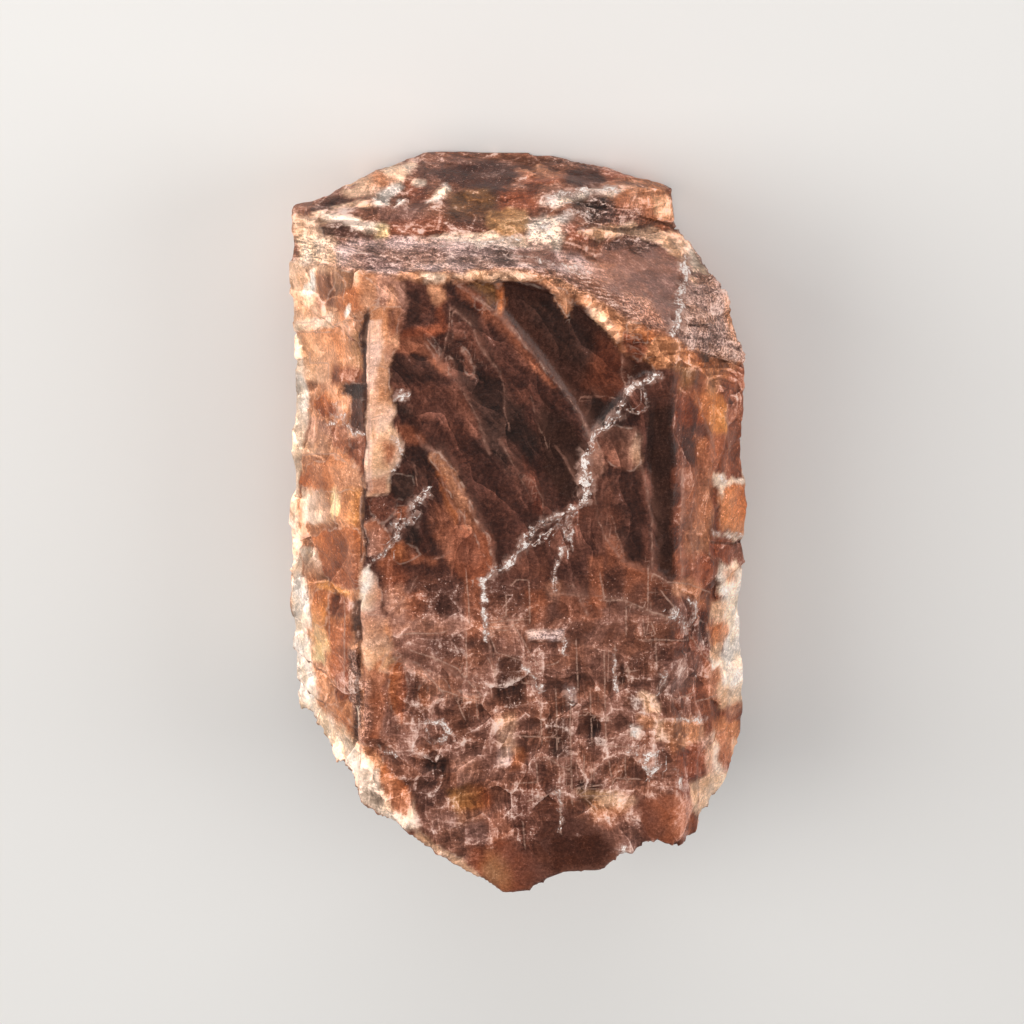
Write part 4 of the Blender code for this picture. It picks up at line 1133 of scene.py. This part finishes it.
def facets(g, where, wide, high, seed, randomness=1.0):
    # splintery cells: each one's tone, sloping across it, about -1 to 1; how far the nearest edge is; its hue
    cell = g.vector("MULTIPLY", where, (100 / wide, 100 / high, 0.0))
    cell = g.vector("ADD", cell, (seed * 1.7, seed * 2.9, 0.0))

    def voronoi(feature):
        node = g.add("ShaderNodeTexVoronoi", voronoi_dimensions="2D", feature=feature)
        node.inputs["Scale"].default_value = 1.0
        node.inputs["Randomness"].default_value = randomness
        g.feed(node.inputs["Vector"], cell)
        return node.outputs

    first = voronoi("F1")
    number = g.vector("SUBTRACT", first["Color"], (0.5, 0.5, 0.5))
    local = g.vector("SUBTRACT", cell, first["Position"])
    slope = g.vector("DOT_PRODUCT", local, number)
    tone = g.math("ADD", g.math("MULTIPLY", g.split(number)[0], 1.4), g.math("MULTIPLY", slope, 2.4))
    return tone, voronoi("DISTANCE_TO_EDGE")["Distance"], g.split(number)[1]


class Stone:
    # patterns that the relief and the material share, so that tone follows shape; the relief works out the
    # slow ones and keeps them on the mesh, where the material reads them

    slow = ("bentSpot", "rings", "slant", "cloudTones", "hueTones")
    farCentre = (1.63, 6.47, 0.0)  # of the curved veils, in hundreds of dots

    def __init__(self, g, place):
        self.g, self.place = g, place
        self.spot = g.attribute("spot")
        self.lattice, self.shell, self.flute = g.split(g.attribute("kindsOne"))
        self.streak, self.grain, self.foot = g.split(g.attribute("kindsTwo"))
        self.crumb, self.fog, self.knobs = g.split(g.attribute("kindsThree"))
        self.speckle, self.calm = g.split(g.attribute("kindsFour"))[:2]
        self.kept = self.workOut() if g.isGeometry else {name: g.attribute(name) for name in Stone.slow}
        self.bent, self.rings, self.slant = (self.kept[name] for name in Stone.slow[:3])
        self.plates, self.plateEdge, self.plateHue = facets(g, self.bent, 27, 24, 1.0, 0.8)
        self.lumps, self.lumpEdge, self.lumpHue = facets(g, self.bent, 36, 14, 21.0)
        self.columns, self.columnEdge, self.columnHue = facets(g, self.bent, 24, 56, 4.0)
        self.veils = g.math("FRACT", g.split(self.rings)[2])
        self.narrowVeils = g.math("FRACT", g.split(self.slant)[2])
        self.layers, self.layerEdge = facets(g, self.slant, 55, 8, 11.0)[:2]

    def workOut(self):
        g, spot = self.g, self.spot
        bent = g.vector("ADD", spot, g.noiseVector(spot, 1.2, 1.0, 0.26))
        bent = g.vector("ADD", bent, g.noiseVector(spot, 3.4, 3.0, 0.06))
        # curved veils about one far centre: each brightens outwards and ends in an edge
        farX, farY = g.split(g.vector("SUBTRACT", bent, Stone.farCentre))[:2]
        away = g.vector("LENGTH", g.join(farX, farY, 0.0))
        around = g.math("MULTIPLY", g.math("ARCTAN2", farY, farX), 4.2)
        turned = g.join(away, around, 0.0)
        drift = g.math("MULTIPLY", g.noise(turned, 0.9, 2.0, 0.5), 2.6)
        veils = g.math("ADD", g.math("MULTIPLY", away, 2.4), drift)
        drift = g.math("MULTIPLY", g.noise(g.vector("ADD", turned, (5.0, 2.0, 0.0)), 1.6, 2.0, 0.5), 2.4)
        narrow = g.math("ADD", g.math("MULTIPLY", away, 5.7), drift)
        # layers of the grown end, dipping a little to the right
        x, y = g.split(g.vector("ADD", spot, g.noiseVector(spot, 1.4, 3.0, 0.07)))[:2]
        dipped = g.math("SUBTRACT", y, g.math("MULTIPLY", x, 0.16))

        def moved(shift, scale, detail, roughness):
            return g.noise(g.vector("ADD", self.place, shift), scale, detail, roughness)

        clouds = moved((0.0, 0.0, 0.0), 0.38, 3.0, 0.6)
        patchy = moved((3.0, 0.0, 7.0), 0.75, 2.0, 0.65)
        milky = moved((1.0, 5.0, 2.0), 0.5, 3.0, 0.7)
        warmth = moved((9.0, 4.0, 2.0), 0.4, 3.0, 0.6)
        unsteady = moved((0.0, 0.0, 0.0), 1.1, 2.0, 0.65)
        rings = g.join(away, around, veils)
        slant = g.join(x, dipped, narrow)
        made = (bent, rings, slant, g.join(clouds, patchy, milky), g.join(warmth, unsteady))
        return dict(zip(Stone.slow, made))


def reliefTree():
    tree = bpy.data.node_groups.new("crystalRelief", "GeometryNodeTree")
    face = tree.interface

    def socketFor(name, kind):
        return face.new_socket(name=name, in_out="INPUT", socket_type=kind)

    socketFor("Body", "NodeSocketGeometry")
    sockets = {name: socketFor(name, "NodeSocketFloat") for name in reliefPlan}
    finish = socketFor("Stone", "NodeSocketMaterial")
    face.new_socket(name="Body", in_out="OUTPUT", socket_type="NodeSocketGeometry")
    g = Graph(tree)
    given = g.add("NodeGroupInput").outputs
    place = g.vector("SCALE", g.add("GeometryNodeInputPosition").outputs[0], scale=1000.0)
    s = Stone(g, place)
    heights = []

    def term(name, value, cover=None):
        amount = g.math("MULTIPLY", value, given[name])
        heights.append(g.math("MULTIPLY", amount, cover) if cover is not None else amount)

    term("Marks", g.attribute("lift", "FLOAT"))
    term("Columns", s.columns, s.flute)
    term("Columns", g.ramp(s.columnEdge, 0.1, 0.0, 0.0, -0.6), s.flute)
    fibres = g.noise(g.vector("MULTIPLY", s.spot, (22.0, 1.4, 1.0)), 1.0, 3.0, 0.6)
    term("Flutes", g.math("SUBTRACT", fibres, 0.5), s.flute)
    term("Layers", s.layers, s.streak)
    bedding = g.noise(g.vector("MULTIPLY", s.slant, (2.0, 6.0, 0.0)), 1.0, 4.0, 0.6)
    term("Layers", g.math("SUBTRACT", bedding, 0.5), s.streak)
    term("Knobs", s.lumps, s.knobs)
    term("Lattice", s.plates, s.lattice)
    term("Lattice", g.ramp(s.plateEdge, 0.14, 0.0, 0.0, 0.9), s.lattice)
    term("Veils", s.veils, s.shell)
    fine = g.cells(place, 2.6)
    grainy = g.math("MAXIMUM", s.grain, g.math("MULTIPLY", s.speckle, 0.5))
    term("Grain", g.math("SUBTRACT", 0.6, fine), grainy)
    crumbly = g.cells(place, 1.3)
    broken = g.math("MAXIMUM", g.math("MULTIPLY", s.crumb, 0.6), s.foot)
    term("Crumbs", g.math("SUBTRACT", 0.5, crumbly), broken)
    cleaved = g.cells(g.vector("MULTIPLY", place, (1.0, 1.0, 0.6)), 0.42, "CHEBYCHEV", "Color")
    term("Hackle", g.math("SUBTRACT", g.split(cleaved)[1], 0.5), s.foot)
    sugary = g.noise(place, 2.4, 2.0, 0.6)
    term("Veins", sugary, lineMask(g, "whiteVeinsAndGlints", 0.8, None, 1.3))
    term("Veins", g.math("MULTIPLY", lineMask(g, "paleArcs", 0.8), 0.05))
    term("Veins", g.math("MULTIPLY", lineMask(g, "paleRimsAndHighlights", 0.9, None, 1.6), 0.3))
    term("Veins", g.math("MULTIPLY", lineMask(g, "seams", 0.9, None, 1.6), 0.3))
    term("Cracks", g.math("MULTIPLY", lineMask(g, "shadedCracks", 0.8), -1.0))
    rough = g.math("SUBTRACT", g.noise(place, 0.9, 4.0, 0.6), 0.5)
    term("Overall", g.math("MULTIPLY", rough, g.ramp(s.calm, 0.0, 1.0, 2.0, 0.3)))
    height = heights[0]
    for more in heights[1:]:
        height = g.math("ADD", height, more)
    # the side that rests stays flat, and nothing sinks under it
    level = g.split(place)[2]
    height = g.math("MULTIPLY", height, g.ramp(level, 0.05, 1.2))
    normal = g.add("GeometryNodeInputNormal").outputs[0]
    shape = given["Body"]
    for name, value in s.kept.items():
        keep = g.add("GeometryNodeStoreNamedAttribute", data_type="FLOAT_VECTOR", domain="POINT")
        g.feed(keep.inputs["Geometry"], shape)
        keep.inputs["Name"].default_value = name
        g.feed(keep.inputs["Value"], value)
        shape = keep.outputs[0]
    move = g.add("GeometryNodeSetPosition")
    g.feed(move.inputs["Geometry"], shape)
    g.feed(move.inputs["Offset"], g.vector("SCALE", normal, scale=g.math("MULTIPLY", height, mm)))
    real = g.add("GeometryNodeRealizeInstances")
    g.feed(real.inputs[0], move.outputs[0])
    coat = g.add("GeometryNodeSetMaterial")
    g.feed(coat.inputs["Geometry"], real.outputs[0])
    g.feed(coat.inputs["Material"], given["Stone"])
    g.feed(g.add("NodeGroupOutput").inputs["Body"], coat.outputs[0])
    return tree, sockets, finish


# the stone itself

stonePlan = dict(
    contrast=2.1,  # how many times lighter one step of tone is
    bumpStrength=0.5,
    bumpDepth=0.0003,
    roughness=0.45,
    glassRoughness=0.24,
    coat=0.02,
    coatRoughness=0.15,
    ior=1.54,
    shine=0.2,
)

stoneHues = dict(
    cool=(0.98, 1.0, 1.06, 1),
    warm=(1.08, 0.97, 0.86, 1),
    bleached=(0.9, 0.69, 0.6, 1),
    fog=(0.33, 0.145, 0.1, 1),
    arc=(0.31, 0.14, 0.098, 1),
    arcCore=(0.6, 0.33, 0.24, 1),
    rim=(0.8, 0.56, 0.45, 1),
    seam=(0.5, 0.29, 0.215, 1),
    crackShade=(0.05, 0.02, 0.013, 1),
    veinShade=(0.2, 0.09, 0.065, 1),
    veinPink=(0.56, 0.33, 0.26, 1),
    chip=(0.5, 0.3, 0.235, 1),
    whiteChip=(1.0, 0.92, 0.87, 1),
)


def stoneMaterial():
    stone = bpy.data.materials.new("brownCordierite")
    stone.use_nodes = True
    tree = stone.node_tree
    tree.nodes.clear()
    g = Graph(tree)
    place = g.vector("SCALE", g.add("ShaderNodeTexCoord").outputs["Object"], scale=1000.0)
    s = Stone(g, place)
    ground = g.add("ShaderNodeAttribute", attribute_name="stoneColour").outputs["Color"]
    parts = []

    def tell(value, amount, cover=None):
        value = g.math("MULTIPLY", value, amount)
        parts.append(g.math("MULTIPLY", value, cover) if cover is not None else value)

    def centred(value, spread):
        return g.math("MULTIPLY", g.math("SUBTRACT", value, 0.5), 2 * spread)

    def edge(distance, width):
        return g.ramp(distance, width, width * 0.2)

    fineTone = g.noise(place, 3.2, 3.0, 0.7)
    fray = centred(fineTone, 0.1)
    clouds, patchy, milky = (g.math("ADD", slow, fray) for slow in g.split(s.kept["cloudTones"]))
    warmth, unsteady = (g.math("ADD", slow, fray) for slow in g.split(s.kept["hueTones"])[:2])
    patchy = g.ramp(patchy, 0.42, 0.6)
    unsteady = g.ramp(unsteady, 0.42, 0.62)
    tell(centred(clouds, 1.0), g.ramp(s.calm, 0.0, 1.0, 0.9, 0.4))
    tell(centred(fineTone, 1.0), g.ramp(s.calm, 0.0, 1.0, 0.9, 0.8))
    grainTone = g.noise(place, 7.5, 1.0, 0.7)
    tell(centred(grainTone, 1.0), g.ramp(patchy, 0.0, 1.0, 0.35, 0.6))
    grit = facets(g, s.bent, 8, 9, 31.0)[0]
    tell(grit, g.ramp(s.calm, 0.0, 1.0, 0.22, 0.06))

    # the lattice: dark plates, the pale bands between them, and straight cracks across
    small, smallEdge, smallHue = facets(g, s.bent, 12, 14, 5.0, 0.75)
    busy = g.math("MULTIPLY", s.lattice, g.math("SUBTRACT", 1.0, s.calm))
    broken = g.math("SUBTRACT", 1.0, patchy)
    tell(g.ramp(s.plateEdge, 0.03, 0.36, 0.4, -0.35), g.ramp(milky, 0.35, 0.6, 0.4, 1.1), busy)
    tell(s.plates, 0.62, busy)
    tell(g.math("MULTIPLY", edge(s.plateEdge, 0.06), patchy), 0.45, busy)
    tell(small, 0.42, busy)
    tell(g.math("MULTIPLY", edge(smallEdge, 0.12), g.ramp(milky, 0.48, 0.58)), 0.35, busy)
    swayed = g.vector("ADD", s.spot, g.noiseVector(s.spot, 2.2, 1.0, 0.05))
    upright, uprightEdge = facets(g, swayed, 11, 150, 41.0)[:2]
    tell(g.math("MULTIPLY", edge(uprightEdge, 0.08), patchy), 0.5, busy)
    tell(upright, 0.2, busy)
    swayed = g.vector("ADD", s.spot, g.noiseVector(s.spot, 2.6, 1.0, 0.05))
    acrossEdge = facets(g, swayed, 70, 13, 51.0)[1]
    tell(g.math("MULTIPLY", edge(acrossEdge, 0.09), broken), 0.4, busy)
    level = g.noise(g.vector("MULTIPLY", s.bent, (1.8, 20.0, 0.0)), 1.0, 2.0, 0.6)
    tell(g.ramp(level, 0.6, 0.68), 0.35, busy)
    hatch = g.noise(g.vector("MULTIPLY", s.bent, (34.0, 5.0, 0.0)), 1.0, 1.0, 0.5)
    hatched = g.math("MAXIMUM", g.math("MULTIPLY", s.shell, 0.7), s.flute)
    tell(centred(hatch, 1.0), 0.6, g.math("MAXIMUM", busy, hatched))
    tell(g.ramp(milky, 0.5, 0.7), 0.4, busy)

    # the veils in the glass
    glassy = g.math("MULTIPLY", s.shell, g.ramp(s.calm, 0.0, 1.0, 1.0, 0.3))
    drifting = g.math("MULTIPLY", glassy, g.ramp(clouds, 0.35, 0.6))
    tell(g.math("SUBTRACT", g.math("POWER", s.veils, 2.2), 0.35), 1.1, drifting)
    tell(g.math("SUBTRACT", g.math("POWER", s.narrowVeils, 3.0), 0.25), 0.6, g.math("MULTIPLY", glassy, patchy))
    wisps = g.noise(g.vector("MULTIPLY", s.rings, (13.0, 1.8, 0.0)), 1.0, 3.0, 0.6)
    tell(centred(wisps, 1.0), 1.1, glassy)

    # smooth plates and streaks of the flanks
    streaks = g.noise(g.vector("MULTIPLY", s.spot, (13.0, 1.7, 1.0)), 1.0, 2.0, 0.5)
    tell(s.columns, 0.75, s.flute)
    tell(g.math("MULTIPLY", edge(s.columnEdge, 0.05), patchy), 0.9, s.flute)
    tell(centred(streaks, 1.0), 0.8, s.flute)
    tell(g.ramp(streaks, 0.62, 0.7), 0.5, s.flute)
    tell(small, 0.3, s.flute)
    tell(g.ramp(milky, 0.56, 0.7), 0.6, s.flute)

    # the grown end: layers, knobs and sugary speckle
    thin = g.noise(g.vector("MULTIPLY", s.slant, (5.0, 22.0, 0.0)), 1.0, 4.0, 0.7)
    tell(s.layers, 0.5, s.streak)
    tell(centred(thin, 1.0), 2.1, s.streak)
    tell(g.math("MULTIPLY", edge(s.layerEdge, 0.16), patchy), 0.7, s.streak)
    smears, smearEdge = facets(g, s.bent, 15, 6, 15.0)[:2]
    tell(s.lumps, 0.7, s.knobs)
    tell(smears, 0.45, s.knobs)
    tell(centred(thin, 1.0), 1.0, s.knobs)
    tell(centred(milky, 1.0), 1.6, s.knobs)
    tell(g.ramp(milky, 0.55, 0.68), 0.8, s.knobs)
    tell(g.math("MULTIPLY", edge(s.lumpEdge, 0.08), patchy), 0.7, s.knobs)
    tell(g.math("MULTIPLY", edge(smearEdge, 0.1), broken), 0.3, s.knobs)
    sugar = g.noise(place, 4.2, 2.0, 0.75)
    tell(centred(sugar, 1.0), 1.6, s.speckle)
    tell(centred(grainTone, 1.0), 1.2, g.math("MAXIMUM", s.speckle, s.grain))
    tell(centred(sugar, 1.0), 2.8, s.grain)
    thread = g.noise(g.vector("MULTIPLY", s.slant, (11.0, 40.0, 0.0)), 1.0, 2.0, 0.7)
    tell(centred(thread, 1.0), 2.6, s.speckle)

    # crumbs and the hackly foot
    tell(small, 0.6, s.crumb)
    tell(smears, 0.7, s.crumb)
    tell(edge(smallEdge, 0.12), 0.25, s.crumb)
    tell(centred(sugar, 1.0), 0.6, s.crumb)
    splinters = g.cells(place, 0.8, output="Color")
    tell(centred(g.split(splinters)[0], 1.0), 0.6, s.foot)
    # painted glints: small bright flecks of tone that stand in for highlights, few in the glass
    glints = g.ramp(g.noise(place, 5.5, 1.0, 0.6), 0.66, 0.72)
    glinting = g.ramp(g.math("ADD", s.calm, s.shell), 0.0, 1.0, 1.0, 0.15)
    tell(glints, 1.3, g.math("MULTIPLY", glinting, g.ramp(milky, 0.42, 0.6, 0.15, 1.0)))

    tone = parts[0]
    for more in parts[1:]:
        tone = g.math("ADD", tone, more)
    gain = g.math("POWER", stonePlan["contrast"], g.math("MINIMUM", tone, 1.6))
    deeper = g.math("MULTIPLY", g.ramp(tone, 0.8, -1.4, 0.0, 0.3), g.math("SUBTRACT", 1.0, s.streak))
    deeper = g.vector("SCALE", (1.02, 1.06, 1.09), scale=g.math("ADD", deeper, 1.0))
    colour = g.vector("SCALE", g.vector("POWER", ground, deeper), scale=gain)
    hues = g.math("ADD", g.math("MULTIPLY", s.plateHue, s.lattice), g.math("MULTIPLY", smallHue, 0.6))
    hues = g.math("ADD", hues, g.math("MULTIPLY", s.columnHue, s.flute))
    hues = g.math("ADD", hues, g.math("MULTIPLY", s.lumpHue, s.knobs))
    warm = g.ramp(g.math("ADD", warmth, g.math("MULTIPLY", hues, 0.16)), 0.38, 0.66)
    warm = g.math("MULTIPLY", warm, g.ramp(s.shell, 0.0, 1.0, 1.0, 0.55))
    colour = g.vector("MULTIPLY", colour, g.blend(warm, stoneHues["cool"], stoneHues["warm"]))
    paleness = g.ramp(g.math("SUBTRACT", tone, g.math("MULTIPLY", s.shell, 0.8)), 0.3, 2.2, 0.0, 0.9)
    colour = g.blend(paleness, colour, stoneHues["bleached"])

    # fog beside the arcs, then the lines
    ragged = centred(g.noise(place, 2.0, 3.0, 0.7), 6.0)
    fog = g.math("MULTIPLY", s.fog, g.ramp(wisps, 0.35, 0.62, 0.25, 1.0))
    colour = g.blend(g.math("MULTIPLY", fog, 0.42), colour, stoneHues["fog"])
    band = lineMask(g, "paleArcs", 0.95, g.math("MULTIPLY", ragged, 0.5), 1.5)
    band = g.math("MULTIPLY", band, g.ramp(wisps, 0.38, 0.6, 0.1, 0.75))
    colour = g.blend(band, colour, stoneHues["arc"])
    core = lineMask(g, "paleArcs", 0.95, g.math("MULTIPLY", ragged, 0.4), 0.6)
    core = g.math("MULTIPLY", core, g.math("MULTIPLY", unsteady, g.ramp(hatch, 0.35, 0.6, 0.3, 1.0)))
    colour = g.blend(g.math("MULTIPLY", core, 0.8), colour, stoneHues["arcCore"])
    # pale flake edges, with painted highlights on raised patches
    rims = g.math("MULTIPLY", lineMask(g, "paleRimsAndHighlights", 0.95, g.math("MULTIPLY", ragged, 0.2)), unsteady)
    colour = g.blend(g.math("MULTIPLY", rims, 0.6), colour, stoneHues["rim"])
    seams = lineMask(g, "seams", 0.95, g.math("MULTIPLY", ragged, 0.1))
    seams = g.math("MULTIPLY", seams, g.ramp(fineTone, 0.35, 0.6, 0.2, 0.9))
    colour = g.blend(seams, colour, stoneHues["seam"])
    # painted shade in the cracks and under ledges
    cracks = lineMask(g, "shadedCracks", 0.4, g.math("MULTIPLY", ragged, 0.2))
    colour = g.blend(cracks, colour, stoneHues["crackShade"])

    # crumbled veins: a pinkish band, chips of all tones along its middle, and pale filaments round them; a few
    # short lines are painted glints drawn the same way
    halo = g.math("MULTIPLY", lineMask(g, "whiteVeinsAndGlints", 0.8, ragged, 3.0), g.ramp(grit, -0.8, 0.4, 0.25, 0.8))
    mixed = g.blend(g.ramp(grit, -0.6, 0.6), stoneHues["veinShade"], stoneHues["veinPink"])
    colour = g.blend(halo, colour, mixed)
    near = lineMask(g, "whiteVeinsAndGlints", 1.0, ragged, 2.0)
    away = g.split(g.attribute("whiteVeinsAndGlints"))[0]
    braids = []
    for wiggle in (centred(milky, 15.0), centred(clouds, -14.0), centred(warmth, 17.0)):
        braids.append(g.ramp(g.math("ABSOLUTE", g.math("ADD", away, wiggle)), 1.3, 0.3))
    filaments = g.math("MAXIMUM", g.math("MAXIMUM", braids[0], braids[1]), braids[2])
    filaments = g.math("MULTIPLY", filaments, g.ramp(near, 0.0, 0.25))
    dotted = g.math("MULTIPLY", g.ramp(fineTone, 0.38, 0.54, 0.15, 1.0), g.ramp(patchy, 0.0, 1.0, 0.3, 1.0))
    filaments = g.math("MULTIPLY", filaments, dotted)
    chips = g.math("ADD", near, g.math("ADD", g.math("MULTIPLY", grit, 0.35), centred(sugar, 1.6)))
    chips = g.math("ADD", chips, centred(clouds, 1.6))
    chips = g.math("MULTIPLY", g.ramp(chips, 0.9, 1.3), g.ramp(near, 0.0, 0.2))
    veins = g.math("MAXIMUM", filaments, chips)
    sugary = g.ramp(g.math("ADD", sugar, g.math("MULTIPLY", grit, 0.12)), 0.4, 0.6)
    pale = g.blend(sugary, stoneHues["chip"], stoneHues["whiteChip"])
    colour = g.blend(g.math("MULTIPLY", veins, 0.9), colour, pale)

    # fine relief
    bumps = g.math("MULTIPLY", fineTone, g.ramp(s.calm, 0.0, 1.0, 1.0, 0.3))
    bumps = g.math("ADD", bumps, g.math("MULTIPLY", small, g.ramp(s.calm, 0.0, 1.0, 0.35, 0.05)))
    bump = g.add("ShaderNodeBump")
    bump.inputs["Strength"].default_value = stonePlan["bumpStrength"]
    bump.inputs["Distance"].default_value = stonePlan["bumpDepth"]
    g.feed(bump.inputs["Height"], bumps)

    skinShader = g.add("ShaderNodeBsdfPrincipled")
    surface = skinShader.inputs
    g.feed(surface["Base Color"], colour)
    roughness = g.ramp(s.calm, 0.0, 1.0, stonePlan["roughness"], stonePlan["glassRoughness"])
    g.feed(surface["Roughness"], g.math("ADD", roughness, centred(fineTone, 0.15)))
    surface["IOR"].default_value = stonePlan["ior"]
    surface["Specular IOR Level"].default_value = stonePlan["shine"]
    surface["Coat Weight"].default_value = stonePlan["coat"]
    surface["Coat Roughness"].default_value = stonePlan["coatRoughness"]
    g.feed(surface["Normal"], bump.outputs[0])
    g.feed(g.add("ShaderNodeOutputMaterial").inputs["Surface"], skinShader.outputs[0])
    return stone


stone = stoneMaterial()


def addRelief(piece):
    tree, sockets, finish = reliefTree()
    relief = piece.modifiers.new("relief", "NODES")
    relief.node_group = tree
    for name, socket in sockets.items():
        relief[socket.identifier] = reliefPlan[name]
    relief[finish.identifier] = stone
    settle(piece)


addRelief(body)
body.name = "cordieriteBody"
for polygon in body.data.polygons:
    polygon.use_smooth = True
print("relief made")
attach(body, "root")
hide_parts("cordierite_crystal")

# the floor and the lights

studioPlan = dict(
    floorSize=3.0,
    floorTone=(0.80, 0.79, 0.775, 1),
    floorPale=(0.82, 0.81, 0.795, 1),
    floorRoughness=0.85,
    worldTone=(1.0, 0.99, 0.98, 1),
    worldStrength=0.3,
)


def addFloor():
    mesh = bpy.data.meshes.new("paleFloor")
    half = studioPlan["floorSize"] / 2
    corners = [(-half, -half, 0), (half, -half, 0), (half, half, 0), (-half, half, 0)]
    mesh.from_pydata(corners, [], [(0, 1, 2, 3)])
    floor = bpy.data.objects.new("paleFloor", mesh)
    bpy.context.scene.collection.objects.link(floor)
    material = bpy.data.materials.new("paleFloor")
    material.use_nodes = True
    g = Graph(material.node_tree)
    shader = material.node_tree.nodes["Principled BSDF"]
    place = g.add("ShaderNodeTexCoord").outputs["Object"]
    clouds = g.noise(place, 3.0, 2.0)
    tone = g.blend(g.ramp(clouds, 0.3, 0.7), studioPlan["floorTone"], studioPlan["floorPale"])
    g.feed(shader.inputs["Base Color"], tone)
    shader.inputs["Roughness"].default_value = studioPlan["floorRoughness"]
    mesh.materials.append(material)


def addLight(name, place, aim, size, power, colour=(1, 1, 1)):
    data = bpy.data.lights.new(name, "AREA")
    data.shape = "RECTANGLE"
    data.size, data.size_y = size
    data.energy = power
    data.color = colour
    light = bpy.data.objects.new(name, data)
    light.location = place
    light.rotation_euler = (Vector(place) - Vector(aim)).to_track_quat("Z", "Y").to_euler()
    bpy.context.scene.collection.objects.link(light)


addFloor()
addLight("leftSoftbox", (-0.32, 0.08, 0.24), (0, 0, 0.01), (0.25, 0.35), 1.15, (1.0, 0.98, 0.95))
addLight("rightSoftbox", (0.36, 0.05, 0.22), (0, 0, 0.01), (0.25, 0.35), 0.74, (1.0, 0.98, 0.96))
addLight("topSoftbox", (0.0, 0.42, 0.22), (0, 0.01, 0.01), (0.4, 0.2), 0.6)
addLight("overhead", (0.0, 0.3, 0.5), (0, 0, 0.01), (0.3, 0.3), 0.36)

world = bpy.data.worlds.new("studio")
world.use_nodes = True
sky = world.node_tree.nodes["Background"].inputs
sky["Color"].default_value = studioPlan["worldTone"]
sky["Strength"].default_value = studioPlan["worldStrength"]
bpy.context.scene.world = world
bpy.context.scene.view_settings.view_transform = "Standard"
print("studio set")
